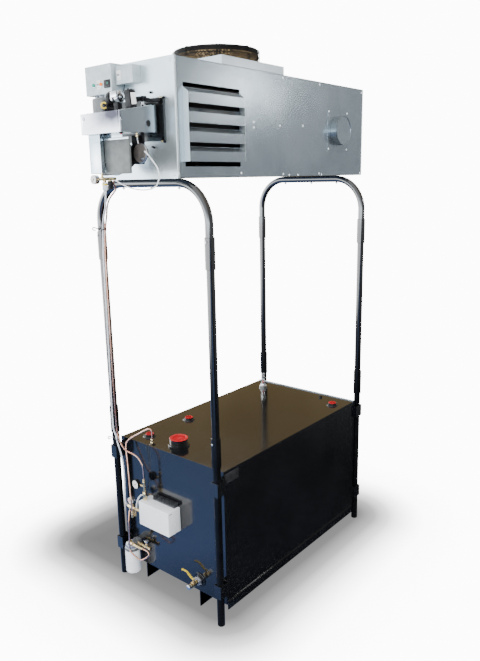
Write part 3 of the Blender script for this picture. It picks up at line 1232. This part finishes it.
def burner_housing():
    hood = burner_hood("burner_housing", 0, BURNER_FRONT_X)
    cut(hood, burner_hood("hood_room", SHEET, BURNER_FRONT_X - OVERRUN))
    floor = hood_floor_z(RESET_X)
    cut(hood, cylinder("reset_way", RESET_BUTTON_R + RESET_CLEARANCE, 2 * OVERRUN, GALVANISED,
                       (RESET_X, RESET_Y, floor - OVERRUN), steps=12))
    neck_x = SCROLL_X - SCROLL_R_LARGE + SHEET
    cut(hood, box("neck_way", (neck_x, SCROLL_RIGHT_Y + SHEET, floor - OVERRUN),
                  (neck_x + SCROLL_THROAT - 2 * SHEET, SCROLL_LEFT_Y - 2 * SHEET, floor + OVERRUN), GALVANISED))
    cut(hood, cylinder("air_way", BLAST_TUBE_R, 2 * OVERRUN, GALVANISED,
                       (BURNER_REAR_X - OVERRUN, DRUM_Y, DRUM_Z), "X"))


def hood_top_z(x):
    share = (x - BURNER_FRONT_X) / (BURNER_REAR_X - BURNER_FRONT_X)
    return BURNER_TOP_FRONT_Z + share * (BURNER_TOP_REAR_Z - BURNER_TOP_FRONT_Z)


def hood_floor_z(x):
    share = (x - BURNER_FRONT_X) / (BURNER_REAR_X - BURNER_FRONT_X)
    return BURNER_BOTTOM_FRONT_Z + share * (BURNER_BOTTOM_REAR_Z - BURNER_BOTTOM_FRONT_Z)


def hood_seat():
    # The casing grown by the gap, which gives a piece on top its sloping seat.
    return burner_hood("hood_seat", -GAP, BURNER_FRONT_X - OVERRUN)


def burner_door():
    # A bright pan over the casing's mouth, hinged at its right edge.
    low_z = BURNER_BOTTOM_FRONT_Z
    high_z = BURNER_TOP_FRONT_Z
    hinge = (BURNER_FRONT_X - GAP - DOOR_BARREL_R, BURNER_RIGHT_Y - DOOR_BARREL_R + WELD_SINK, low_z)
    door = box("burner_door", (DOOR_FRONT_X, BURNER_RIGHT_Y, low_z),
               (BURNER_FRONT_X - GAP, BURNER_LEFT_Y, high_z), BRIGHT_STEEL)
    cut(door, box("door_room", (DOOR_FRONT_X + DOOR_SHEET, BURNER_RIGHT_Y + DOOR_SHEET, low_z + DOOR_SHEET),
                  (BURNER_FRONT_X + OVERRUN, BURNER_LEFT_Y - DOOR_SHEET, high_z - DOOR_SHEET), BRIGHT_STEEL))
    join(door, cylinder("hinge_barrel", DOOR_BARREL_R, high_z - low_z, BRIGHT_STEEL, hinge, steps=12))
    join(door, cylinder("door_latch", DOOR_LATCH_R, DOOR_LATCH_PROUD + WELD_SINK, BRIGHT_STEEL,
                        (DOOR_FRONT_X + WELD_SINK, BURNER_LEFT_Y - DOOR_LATCH_INSET, high_z - DOOR_LATCH_INSET),
                        "-X", steps=12))
    set_origin(door, hinge)


def set_origin(obj, point):
    # Moves an object's origin, a point in the heater's own frame, without its mesh.
    shift = Vector(point) - obj.location
    obj.data.transform(Matrix.Translation(-shift))
    obj.location = point


def scroll_outline(inset):
    # Local X is forward, towards the door, and local Y is up.
    points = []
    for i in range(SCROLL_STEPS + 1):
        share = i / SCROLL_STEPS
        angle = math.radians(SCROLL_START_ANGLE + (360 - SCROLL_START_ANGLE) * share)
        radius = SCROLL_R_SMALL + (SCROLL_R_LARGE - SCROLL_R_SMALL) * share - inset
        points.append((radius * math.cos(angle), radius * math.sin(angle)))
    return points


def scroll_floor_z(x):
    # The height of the blower's underside at the given x, below its throat.
    across = SCROLL_X - x
    radius = SCROLL_R_LARGE
    for _ in range(SCROLL_STEPS):
        angle = 360 - math.degrees(math.acos(across / radius))
        share = (angle - SCROLL_START_ANGLE) / (360 - SCROLL_START_ANGLE)
        radius = SCROLL_R_SMALL + (SCROLL_R_LARGE - SCROLL_R_SMALL) * share
    return SCROLL_Z - max(SCROLL_FRONT_DROP, math.sqrt(radius**2 - across**2))


def scroll_shape(name, inset, width, neck_top):
    # The volute in the XZ plane with its square throat, whose front wall is
    # straight from the casing down to a square lower corner.
    outline = scroll_outline(inset)
    body = plate(name, outline, width, GALVANISED)
    body.matrix_local = Matrix(((-1, 0, 0, SCROLL_X), (0, 0, 1, (SCROLL_LEFT_Y + SCROLL_RIGHT_Y) / 2),
                                (0, 1, 0, SCROLL_Z), (0, 0, 0, 1)))
    middle = (SCROLL_LEFT_Y + SCROLL_RIGHT_Y) / 2
    front = SCROLL_X - SCROLL_R_LARGE + inset
    neck = box("scroll_neck", (front, middle - width / 2, SCROLL_Z - SCROLL_FRONT_DROP + inset),
               (front + SCROLL_THROAT - 2 * inset, middle + width / 2, neck_top), GALVANISED)
    join(body, neck)
    return body


def blower_housing():
    neck_top = hood_floor_z(SCROLL_X - SCROLL_R_LARGE) - GAP
    body = scroll_shape("blower_housing", 0, SCROLL_WIDTH, neck_top)
    cut(body, scroll_shape("scroll_room", SHEET, SCROLL_WIDTH - 2 * SHEET, neck_top + OVERRUN))
    cut(body, cylinder("scroll_inlet", SCROLL_INLET_R, 2 * OVERRUN, GALVANISED,
                       (SCROLL_X, SCROLL_LEFT_Y - OVERRUN, SCROLL_Z), "Y"))
    cut(body, cylinder("shaft_way", BLOWER_SHAFT_R + GAP, 2 * OVERRUN, GALVANISED,
                       (SCROLL_X, SCROLL_RIGHT_Y - OVERRUN, SCROLL_Z), "Y", 12))


def blower_wheel():
    # A squirrel-cage wheel: a back disc, vanes all round and a front ring.
    base_y = SCROLL_RIGHT_Y + (SCROLL_WIDTH - WHEEL_WIDTH) / 2
    disc = [(WHEEL_BORE_R, 0), (WHEEL_BORE_R, WHEEL_WIDTH / 2), (WHEEL_HUB_R, WHEEL_WIDTH / 2),
            (WHEEL_HUB_R, WHEEL_DISC), (WHEEL_R, WHEEL_DISC), (WHEEL_R, 0)]
    wheel = turned("blower_wheel", disc, GALVANISED, (SCROLL_X, base_y, SCROLL_Z), "Y", ring=True)
    front = [(WHEEL_INNER_R, WHEEL_WIDTH - WHEEL_DISC), (WHEEL_INNER_R, WHEEL_WIDTH), (WHEEL_R, WHEEL_WIDTH),
             (WHEEL_R, WHEEL_WIDTH - WHEEL_DISC)]
    ring = turned("wheel_ring", front, GALVANISED, (SCROLL_X, base_y, SCROLL_Z), "Y", ring=True)
    for i in range(WHEEL_VANES):
        angle = 2 * math.pi * i / WHEEL_VANES
        middle = (WHEEL_R + WHEEL_INNER_R) / 2 - WELD_SINK / 2
        vane = box("wheel_vane", (0, 0, 0), (WHEEL_R - WHEEL_INNER_R - WELD_SINK,
                                             WHEEL_WIDTH - WHEEL_DISC, WHEEL_VANE_THICK), GALVANISED)
        vane.location = (SCROLL_X + middle * math.cos(angle), base_y + WHEEL_WIDTH / 2,
                         SCROLL_Z + middle * math.sin(angle))
        vane.rotation_euler = (0, -angle, 0)
        join(wheel, vane)
    join(wheel, ring)


def blower_motor():
    # The motor on the blower's right, and the plain cover plate in front of it.
    length = BLOWER_MOTOR_LENGTH
    bell = BLOWER_MOTOR_BELL
    reach = BLOWER_SHAFT_REACH
    profile = [(0, length), (BLOWER_MOTOR_BELL_R, length), (BLOWER_MOTOR_R, length - bell), (BLOWER_MOTOR_R, bell),
               (BLOWER_MOTOR_BELL_R, 0), (BLOWER_SHAFT_R, 0), (BLOWER_SHAFT_R, -reach), (0, -reach)]
    base = (SCROLL_X, SCROLL_RIGHT_Y - GAP, SCROLL_Z)
    motor = turned("blower_motor", profile, BLACK_PLASTIC, base, "-Y")
    middle = SCROLL_RIGHT_Y - GAP - length / 2
    stud = MOTOR_PLATE_STUD / 2
    join(motor, box("plate_stud", (MOTOR_PLATE_X, middle - stud, SCROLL_Z - stud),
                    (SCROLL_X, middle + stud, SCROLL_Z + stud), DARK_GREY))
    low_y = MOTOR_PLATE_RIGHT_Y
    join(motor, box("cover_plate", (MOTOR_PLATE_X - SHEET / 2, low_y, SCROLL_Z - MOTOR_PLATE_HEIGHT / 2),
                    (MOTOR_PLATE_X + SHEET / 2, low_y + MOTOR_PLATE_WIDTH, SCROLL_Z + MOTOR_PLATE_HEIGHT / 2), DARK_GREY))


def air_switch():
    # The pressure switch hangs under the casing on a flat bracket.
    rim = AIR_SWITCH_RIM
    thick = AIR_SWITCH_THICK
    profile = [(0, thick), (AIR_SWITCH_R - rim, thick), (AIR_SWITCH_R, thick - rim), (AIR_SWITCH_R, rim),
               (AIR_SWITCH_R - rim, 0), (0, 0)]
    disc = turned("air_pressure_switch", profile, ZINC, (AIR_SWITCH_X + thick, AIR_SWITCH_Y, AIR_SWITCH_Z), "-X")
    rear = AIR_SWITCH_X + thick
    half = AIR_SWITCH_BODY_WIDTH / 2
    top = hood_floor_z(rear) - GAP
    join(disc, box("switch_body", (rear - WELD_SINK, AIR_SWITCH_Y - half, AIR_SWITCH_Z - half),
                   (rear + AIR_SWITCH_BODY_DEPTH, AIR_SWITCH_Y + half, AIR_SWITCH_Z + half), BLACK_PLASTIC))
    half = AIR_SWITCH_BRACKET_WIDTH / 2
    join(disc, box("switch_bracket", (rear + AIR_SWITCH_BRACKET, AIR_SWITCH_Y - half, AIR_SWITCH_Z),
                   (rear + 2 * AIR_SWITCH_BRACKET, AIR_SWITCH_Y + half, top), BLACK_PLASTIC))


def burner_control():
    top = hood_top_z(CONTROL_X) + CONTROL_HEIGHT
    rest = hood_top_z(CONTROL_X) - CONTROL_EDGE_R
    control = box("burner_control", (CONTROL_X, BURNER_LEFT_Y - CONTROL_WIDTH, rest),
                  (CONTROL_X + CONTROL_LENGTH, BURNER_LEFT_Y, top), DARK_GREY, CONTROL_EDGE_R)
    cut(control, hood_seat())


def solenoid_valve():
    profile = [(0, VALVE_COIL_LENGTH), (VALVE_COIL_R, VALVE_COIL_LENGTH), (VALVE_COIL_R, 0),
               (VALVE_BODY_R, 0), (VALVE_BODY_R, -VALVE_BODY_LENGTH), (0, -VALVE_BODY_LENGTH)]
    valve = turned("solenoid_valve", profile, BRIGHT_STEEL, (VALVE_X, VALVE_Y, VALVE_Z), "Y")
    half = VALVE_FOOT_WIDTH / 2
    middle = VALVE_Y - VALVE_BODY_LENGTH / 2
    join(valve, box("valve_foot", (VALVE_X - half, middle - half, hood_top_z(VALVE_X - half) - OVERRUN),
                    (VALVE_X + half, middle + half, VALVE_Z), BRIGHT_STEEL))
    cut(valve, hood_seat())


def ignition_transformer():
    rest = hood_top_z(TRANSFORMER_X) - TRANSFORMER_EDGE_R
    block = box("ignition_transformer", (TRANSFORMER_X, TRANSFORMER_Y, rest),
                (TRANSFORMER_X + TRANSFORMER_LENGTH, TRANSFORMER_Y + TRANSFORMER_WIDTH,
                 rest + TRANSFORMER_HEIGHT), BLACK_PLASTIC, TRANSFORMER_EDGE_R)
    cut(block, hood_seat())


def reset_button():
    # The red button under the casing, pushed up against its spring.
    profile = [(0, RESET_BUTTON_LENGTH), (RESET_COLLAR_R - RESET_CLEARANCE, RESET_BUTTON_LENGTH),
               (RESET_COLLAR_R - RESET_CLEARANCE, RESET_BUTTON_LENGTH - RESET_HEAD),
               (RESET_BUTTON_R, RESET_BUTTON_LENGTH - RESET_HEAD), (RESET_BUTTON_R, 0), (0, 0)]
    rest = hood_floor_z(RESET_X) + SHEET + 2 * GAP + RESET_HEAD - RESET_BUTTON_LENGTH
    turned("reset_button", profile, RED_PLASTIC, (RESET_X, RESET_Y, rest), steps=12)


def oil_manifold():
    # Brass bar with its filter bowl and regulator, hung from the blower.
    length = GROUP_LEFT_Y - GROUP_RIGHT_Y
    bar = hexagon("oil_manifold", GROUP_BAR_R, length, BRASS, (GROUP_X, GROUP_RIGHT_Y, GROUP_Z), "Y")
    rest = scroll_floor_z(GROUP_X + GROUP_NIPPLE_R) - GAP
    join(bar, cylinder("nipple", GROUP_NIPPLE_R, rest - GROUP_Z, BRASS, (GROUP_X, GROUP_NIPPLE_Y, GROUP_Z), steps=8))
    join(bar, cylinder("bowl", GROUP_BOWL_R, GROUP_BOWL_LENGTH - GROUP_PORT_LENGTH, CLEAR_HOSE,
                       (GROUP_X, GROUP_BOWL_Y, GROUP_Z + GROUP_PORT_LENGTH - GROUP_BOWL_LENGTH), steps=12))
    join(bar, cylinder("regulator", GROUP_VALVE_R, GROUP_VALVE_LENGTH - GROUP_PORT_LENGTH, BLACK_PLASTIC,
                       (GROUP_X, GROUP_VALVE_Y, GROUP_Z + GROUP_PORT_LENGTH - GROUP_VALVE_LENGTH), steps=12))
    join(bar, cylinder("outlet", GROUP_PORT_R, GROUP_PORT_LENGTH, BRASS,
                       (GROUP_X, GROUP_RIGHT_Y + GROUP_BAR_R, GROUP_Z), "X", 8))


# Gauges

def gauge_case(name, at, radius, material):
    # A round case facing the front, its dial sunk below the rim.
    dial = GAUGE_DEPTH - GAUGE_RECESS
    profile = [(0, dial), (radius - GAUGE_RIM, dial), (radius - GAUGE_RIM, GAUGE_DEPTH), (radius, GAUGE_DEPTH),
               (radius, 0), (0, 0)]
    return turned(name, profile, material, (at[0] + GAUGE_DEPTH, at[1], at[2]), "-X", steps=20)


def gauge_needle(name, at, share):
    dial = at[0] + GAUGE_RECESS - NEEDLE_LIFT
    hub = cylinder(name, NEEDLE_HUB_R * share, NEEDLE_HUB_HEIGHT, BLACK_PLASTIC, (dial, at[1], at[2]), "-X", 12)
    length = (NEEDLE_LENGTH + NEEDLE_TAIL) * share
    half = NEEDLE_WIDTH * share / 2
    hand = box("needle_hand", (dial - NEEDLE_LIFT - NEEDLE_THICK, at[1] - half, at[2] - length / 2),
               (dial - NEEDLE_LIFT, at[1] + half, at[2] + length / 2), BLACK_PLASTIC)
    angle = math.radians(NEEDLE_REST_ANGLE)
    out = (NEEDLE_LENGTH - NEEDLE_TAIL) * share / 2
    hand.location += Vector((0, out * math.sin(angle), out * math.cos(angle)))
    hand.rotation_euler = (-angle, 0, 0)
    join(hub, hand)


def pressure_gauge():
    at = (GROUP_X - GAUGE_DEPTH / 2, PRESSURE_GAUGE_Y, PRESSURE_GAUGE_Z)
    case = gauge_case("pressure_gauge", at, SMALL_GAUGE_R, BRIGHT_STEEL)
    join(case, cylinder("gauge_stem", FEED_STEM_R, PRESSURE_GAUGE_Y - GROUP_LEFT_Y - GAP, BRASS,
                        (GROUP_X, GROUP_LEFT_Y + GAP, PRESSURE_GAUGE_Z), "Y", 8))
    gauge_needle("pressure_needle", at, SMALL_NEEDLE_SHARE)


def vacuum_gauge():
    at = (VACUUM_GAUGE_X, VACUUM_GAUGE_Y, VACUUM_GAUGE_Z)
    case = gauge_case("vacuum_gauge", at, GAUGE_R, BLACK_PLASTIC)
    join(case, cylinder("gauge_stem", FEED_STEM_R, VACUUM_GAUGE_Y - TEE_Y, BRASS, (TEE_X, TEE_Y, TEE_Z), "Y", 8))
    half = TEE_HEIGHT / 2
    join(case, cylinder("tee_body", TEE_R, TEE_HEIGHT, BRASS, (TEE_X, TEE_Y, TEE_Z - half), steps=8))
    low = PUMP_TOP_Z + GAP
    join(case, hexagon("tee_nut", TEE_NUT_R, TEE_Z - half - low + WELD_SINK, BRASS, (TEE_X, TEE_Y, low)))
    gauge_needle("vacuum_needle", at, 1)


def feed_gauge():
    # The second gauge on the brass manifold at the pump's left side.
    at = (FEED_GAUGE_X, FEED_GAUGE_Y, FEED_GAUGE_Z)
    case = gauge_case("feed_gauge", at, SMALL_GAUGE_R, BRIGHT_STEEL)
    join(case, cylinder("feed_stem", FEED_STEM_R, FEED_GAUGE_Z - MANIFOLD_Z, BRASS,
                        (MANIFOLD_X, FEED_GAUGE_Y, MANIFOLD_Z), steps=8))
    start = PUMP_LEFT_Y + GAP
    join(case, hexagon("manifold_bar", MANIFOLD_R, MANIFOLD_LEFT_Y - start, BRASS, (MANIFOLD_X, start, MANIFOLD_Z), "Y"))
    low = MANIFOLD_Z - MANIFOLD_PORT_DROP - MANIFOLD_PORT_R
    join(case, cylinder("lower_port", MANIFOLD_PORT_R, MANIFOLD_Z - low, BRASS,
                        (MANIFOLD_X, MANIFOLD_PORT_Y, low), steps=8))
    elbow_z = MANIFOLD_Z - MANIFOLD_PORT_DROP
    join(case, cylinder("elbow", MANIFOLD_ELBOW_R, MANIFOLD_ELBOW_OUT, BRASS,
                        (MANIFOLD_X, MANIFOLD_PORT_Y, elbow_z), "-X", 8))
    nut_low = elbow_z + MANIFOLD_NUT_RISE - MANIFOLD_NUT_HEIGHT
    join(case, hexagon("line_nut", MANIFOLD_NUT_R, MANIFOLD_NUT_HEIGHT, BRASS,
                       (MANIFOLD_X - MANIFOLD_ELBOW_OUT, MANIFOLD_PORT_Y, nut_low)))
    gauge_needle("feed_needle", at, SMALL_NEEDLE_SHARE)


# Electrical boxes

def open_box(name, low, high, wall, material):
    # A cover box on a panel, open at its back.
    cover = box(name, low, high, material)
    cut(cover, box("cover_room", (low[0] + wall, low[1] + wall, low[2] + wall),
                   (high[0] + OVERRUN, high[1] - wall, high[2] - wall), material))
    return cover


def toggle(name, x, y, z):
    # A bat lever: a ball behind the cover, a thin neck and a rounded tip.
    ball = TOGGLE_BALL_R
    neck = TOGGLE_NECK_R
    tip = TOGGLE_TIP_R
    length = TOGGLE_LENGTH
    out, down = TOGGLE_TIP_SHARES
    side, rise, under = TOGGLE_BALL_SHARES
    profile = [(0, length), (tip * out, length - tip * down), (tip, length - tip), (neck, ball),
               (ball * side, ball * rise), (ball, 0), (ball * under, -ball * under), (0, -ball)]
    lever = turned(name, profile, BRIGHT_STEEL, (x, y, z), "-X", steps=12)
    lever.rotation_euler = (0, -math.pi / 2 + math.radians(TOGGLE_TILT), 0)


def control_box():
    high_x = CABINET_FRONT_X - GAP
    low_x = high_x - CONTROL_BOX_DEPTH
    high_z = CABINET_TOP_Z - CONTROL_BOX_TOP_DROP
    cover = open_box("control_box", (low_x, CONTROL_BOX_Y, high_z - CONTROL_BOX_HEIGHT),
                     (high_x, CONTROL_BOX_Y + CONTROL_BOX_WIDTH, high_z), BOX_SHEET, GREY_PAINT)
    cut(cover, cylinder("toggle_way", TOGGLE_BALL_R + GAP, 2 * BOX_SHEET, GREY_PAINT,
                        (low_x - BOX_SHEET / 2, CONTROL_TOGGLE_Y, CONTROL_TOGGLE_Z), "X", 12))
    for y in (GREEN_LAMP_Y, AMBER_LAMP_Y):
        join(cover, cylinder("lamp", LAMP_HOLE_R, LAMP_HOLE_R + BOX_SHEET / 2, GREY_PAINT,
                             (low_x + BOX_SHEET / 2, y, LAMP_Z), "-X", 12))
    half_y = DISPLAY_WIDTH / 2
    half_z = DISPLAY_HEIGHT / 2
    join(cover, box("display", (low_x - BOX_SHEET * 2, DISPLAY_Y - half_y, DISPLAY_Z - half_z),
                    (low_x + BOX_SHEET / 2, DISPLAY_Y + half_y, DISPLAY_Z + half_z), BLACK_PLASTIC))
    toggle("control_toggle", low_x + BOX_SHEET / 2, CONTROL_TOGGLE_Y, CONTROL_TOGGLE_Z)


def junction_box():
    high_x = CABINET_FRONT_X - GAP
    low_x = high_x - JUNCTION_BOX_DEPTH
    cover = open_box("junction_box", (low_x, JUNCTION_BOX_Y, JUNCTION_BOX_TOP_Z - JUNCTION_BOX_HEIGHT),
                     (high_x, JUNCTION_BOX_Y + JUNCTION_BOX_WIDTH, JUNCTION_BOX_TOP_Z), BOX_SHEET, GREY_PAINT)
    cut(cover, cylinder("toggle_way", TOGGLE_BALL_R + GAP, 2 * BOX_SHEET, GREY_PAINT,
                        (low_x - BOX_SHEET / 2, JUNCTION_TOGGLE_Y, JUNCTION_TOGGLE_Z), "X", 12))
    toggle("junction_toggle", low_x + BOX_SHEET / 2, JUNCTION_TOGGLE_Y, JUNCTION_TOGGLE_Z)


# Pump, filter and drain on the tank's front end

def pump_unit():
    # The sheet cover over the pump, with the finned motor block behind it.
    wall_x = -TANK_END_X - GAP
    low = (wall_x - PUMP_DEPTH, PUMP_Y, PUMP_TOP_Z - PUMP_HEIGHT)
    high = (wall_x, PUMP_LEFT_Y, PUMP_TOP_Z)
    cover = open_box("pump_unit", low, high, SHEET, WHITE_PAINT)
    block = box("motor_block", (wall_x - FIN_BLOCK_DEPTH, FIN_BLOCK_Y, FIN_BLOCK_TOP_Z - FIN_BLOCK_HEIGHT),
                (wall_x, FIN_BLOCK_Y + FIN_BLOCK_WIDTH, FIN_BLOCK_TOP_Z), BLACK_PLASTIC)
    slots = int(FIN_BLOCK_WIDTH / FIN_PITCH)
    for i in range(slots):
        middle = FIN_BLOCK_Y + (i + 0.5) * FIN_BLOCK_WIDTH / slots
        cut(block, box("fin_slot", (wall_x - FIN_BLOCK_DEPTH - OVERRUN, middle - FIN_SLOT / 2,
                                    FIN_BLOCK_TOP_Z - FIN_DEPTH),
                       (wall_x + OVERRUN, middle + FIN_SLOT / 2, FIN_BLOCK_TOP_Z + OVERRUN), BLACK_PLASTIC))
    join(cover, block)


def filter_head():
    # The cast head on the tank end, its top port, side pipe and shut-off body.
    base = FILTER_BASE_Z + FILTER_HEIGHT + GAP
    head = cylinder("filter_head", HEAD_R, HEAD_HEIGHT, ZINC, (FILTER_X, FILTER_Y, base), steps=20)
    half = HEAD_ARM_WIDTH / 2
    join(head, box("head_arm", (FILTER_X, FILTER_Y - half, base), (-TANK_END_X - GAP, FILTER_Y + half,
                                                                  base + HEAD_HEIGHT), ZINC))
    top = base + HEAD_HEIGHT
    port_x = FILTER_X - HEAD_R + HEAD_TOP_PORT_R
    join(head, hexagon("top_port", HEAD_TOP_PORT_R, HEAD_TOP_PORT_HEIGHT + WELD_SINK, BRASS,
                       (port_x, FILTER_Y - HEAD_R / 2, top - WELD_SINK)))
    nut_x = FILTER_ROUTE[-1][0]
    nut_z = FILTER_ROUTE[-1][2]
    start = FILTER_ROUTE[-1][1] + GAP
    join(head, hexagon("line_nut", HEAD_SIDE_R, FILTER_Y - HEAD_R / 2 - start, BRASS, (nut_x, start, nut_z), "Y"))
    join(head, box("port_block", (nut_x - HEAD_SIDE_R / 2, FILTER_Y - HEAD_R / 2 - HEAD_SIDE_R, top - WELD_SINK),
                   (port_x, FILTER_Y - HEAD_R / 2 + HEAD_SIDE_R / 2, nut_z + HEAD_SIDE_R / 2), BRASS))
    pipe_x = -TANK_END_X - KNOB_WALL_DISTANCE
    middle = base + HEAD_HEIGHT / 2
    join(head, cylinder("side_pipe", HEAD_SIDE_R, HEAD_SIDE_REACH + HEAD_R, BRASS,
                        (pipe_x, FILTER_Y - HEAD_R / 2, middle), "-Y", 8))
    join(head, cylinder("shut_off_stem", KNOB_STEM_R + CLIP_WALL, KNOB_STEM_HEIGHT, BRASS,
                        (pipe_x, KNOB_Y, middle), steps=8))


def filter_knob():
    pipe_x = -TANK_END_X - KNOB_WALL_DISTANCE
    base = FILTER_BASE_Z + FILTER_HEIGHT + GAP + HEAD_HEIGHT / 2 + KNOB_STEM_HEIGHT + GAP
    stem = KNOB_THICK
    top = stem + KNOB_THICK
    crown, slope, under, neck = KNOB_EDGE_SHARES
    profile = [(0, top), (KNOB_R * crown, top), (KNOB_R, top - KNOB_THICK * slope), (KNOB_R, stem + KNOB_THICK * under),
               (KNOB_R * neck, stem), (KNOB_STEM_R, stem), (KNOB_STEM_R, 0), (0, 0)]
    turned("filter_knob", profile, BRIGHT_STEEL, (pipe_x, KNOB_Y, base), steps=16)


def oil_filter():
    top = FILTER_HEIGHT
    edge = FILTER_EDGE_R
    corner = [(FILTER_R - edge + x, edge - y) for y, x in
              [(0, edge)] + [(edge * math.sin(math.radians(a)), edge * math.cos(math.radians(a))) for a in (30, 60)]
              + [(edge, 0)]]
    profile = [(0, top), (FILTER_R - edge / 2, top), (FILTER_R, top - edge / 2)] + corner + [(0, 0)]
    turned("oil_filter", profile, WHITE_PAINT, (FILTER_X, FILTER_Y, FILTER_BASE_Z))


def drain_valve():
    # A weld flange, a hexagon bushing and a ball valve with its end cap.
    wall_x = -TANK_END_X - GAP
    at = (wall_x, DRAIN_Y, DRAIN_Z)
    valve = cylinder("drain_valve", DRAIN_FLANGE_R, DRAIN_FLANGE, BLACK_GLOSS, at, "-X")
    hex_x = wall_x - DRAIN_FLANGE + WELD_SINK
    join(valve, hexagon("bushing", DRAIN_HEX_R, DRAIN_HEX + WELD_SINK, ZINC, (hex_x, DRAIN_Y, DRAIN_Z), "-X"))
    body_x = wall_x - DRAIN_FLANGE - DRAIN_HEX + WELD_SINK
    length = DRAIN_BODY_LENGTH
    cap = length + DRAIN_CAP
    middle = length / 2
    profile = [(0, cap), (DRAIN_CAP_R, cap), (DRAIN_CAP_R, length), (DRAIN_BODY_R, length),
               (DRAIN_BODY_R, middle + DRAIN_BALL_R), (DRAIN_BALL_R, middle + DRAIN_BODY_R / 2),
               (DRAIN_BALL_R, middle - DRAIN_BODY_R / 2), (DRAIN_BODY_R, middle - DRAIN_BALL_R), (DRAIN_BODY_R, 0), (0, 0)]
    join(valve, turned("ball_body", profile, BRASS, (body_x, DRAIN_Y, DRAIN_Z), "-X", steps=16))
    stem_top = DRAIN_STEM_HEIGHT
    join(valve, cylinder("stem_boss", DRAIN_STEM_R, stem_top, BRASS, drain_pivot(0), steps=12))


def drain_pivot(height):
    x = -TANK_END_X - GAP - DRAIN_FLANGE - DRAIN_HEX + WELD_SINK - DRAIN_BODY_LENGTH / 2
    return (x, DRAIN_Y, DRAIN_Z + height)


def drain_lever():
    # A flat lever: an eye on the stem, a rising slope and a level grip.
    t = LEVER_THICK
    flat = LEVER_FLAT
    knee = flat + LEVER_SLOPE_LENGTH
    end = knee + LEVER_GRIP_LENGTH
    rise = LEVER_RISE
    outline = [(-LEVER_EYE_R, 0), (flat, 0), (knee, rise), (end, rise), (end, rise + t), (knee - t / 2, rise + t),
               (flat - t / 2, t), (-LEVER_EYE_R, t)]
    lever = plate("drain_lever", outline, LEVER_WIDTH, YELLOW_GRIP)
    pivot = drain_pivot(DRAIN_STEM_HEIGHT + GAP)
    lever.matrix_local = Matrix(((0, 0, 1, pivot[0]), (1, 0, 0, pivot[1]), (0, 1, 0, pivot[2]), (0, 0, 0, 1)))
    join(lever, cylinder("lever_eye", LEVER_EYE_R, t, YELLOW_GRIP, pivot, steps=12))


# Lines between the tank and the burner

def lines():
    tube("supply_copper_line", smooth_route(SUPPLY_ROUTE, ROUTE_STEP), PIPE_R, COPPER)
    tube("tank_copper_line", smooth_route(TANK_ROUTE, ROUTE_STEP), PIPE_R, COPPER)
    tube("filter_copper_line", smooth_route(FILTER_ROUTE, ROUTE_STEP), PIPE_R, COPPER)
    tube("return_hose", smooth_route(RETURN_HOSE_ROUTE, ROUTE_STEP), HOSE_R, CLEAR_HOSE)
    tube("pump_hose", smooth_route(SHORT_HOSE_ROUTE, ROUTE_STEP), HOSE_R, CLEAR_HOSE)


def shade_all():
    for obj in PARTS.objects:
        if obj.type == "MESH" and obj.data.polygons:
            shade(obj.data)


def build():
    tank_shell()
    tank_skids()
    fill_collar()
    fill_plug()
    bung_plugs()
    level_gauge()
    legs()
    u_frame("front_u_frame", -1)
    u_frame("rear_u_frame", 1)
    cabinet_shell()
    cabinet_front_panel()
    cabinet_side_panel()
    louvre_panel()
    fan_box()
    fan_blade()
    fan_motor()
    fan_guard()
    heat_exchanger()
    flue_collar()
    flue_cap()
    burner_mount_plate()
    burner_housing()
    burner_door()
    blower_housing()
    blower_wheel()
    blower_motor()
    air_switch()
    burner_control()
    solenoid_valve()
    ignition_transformer()
    reset_button()
    oil_manifold()
    pressure_gauge()
    vacuum_gauge()
    feed_gauge()
    control_box()
    junction_box()
    pump_unit()
    filter_head()
    filter_knob()
    oil_filter()
    drain_valve()
    drain_lever()
    lines()
    shade_all()


build()
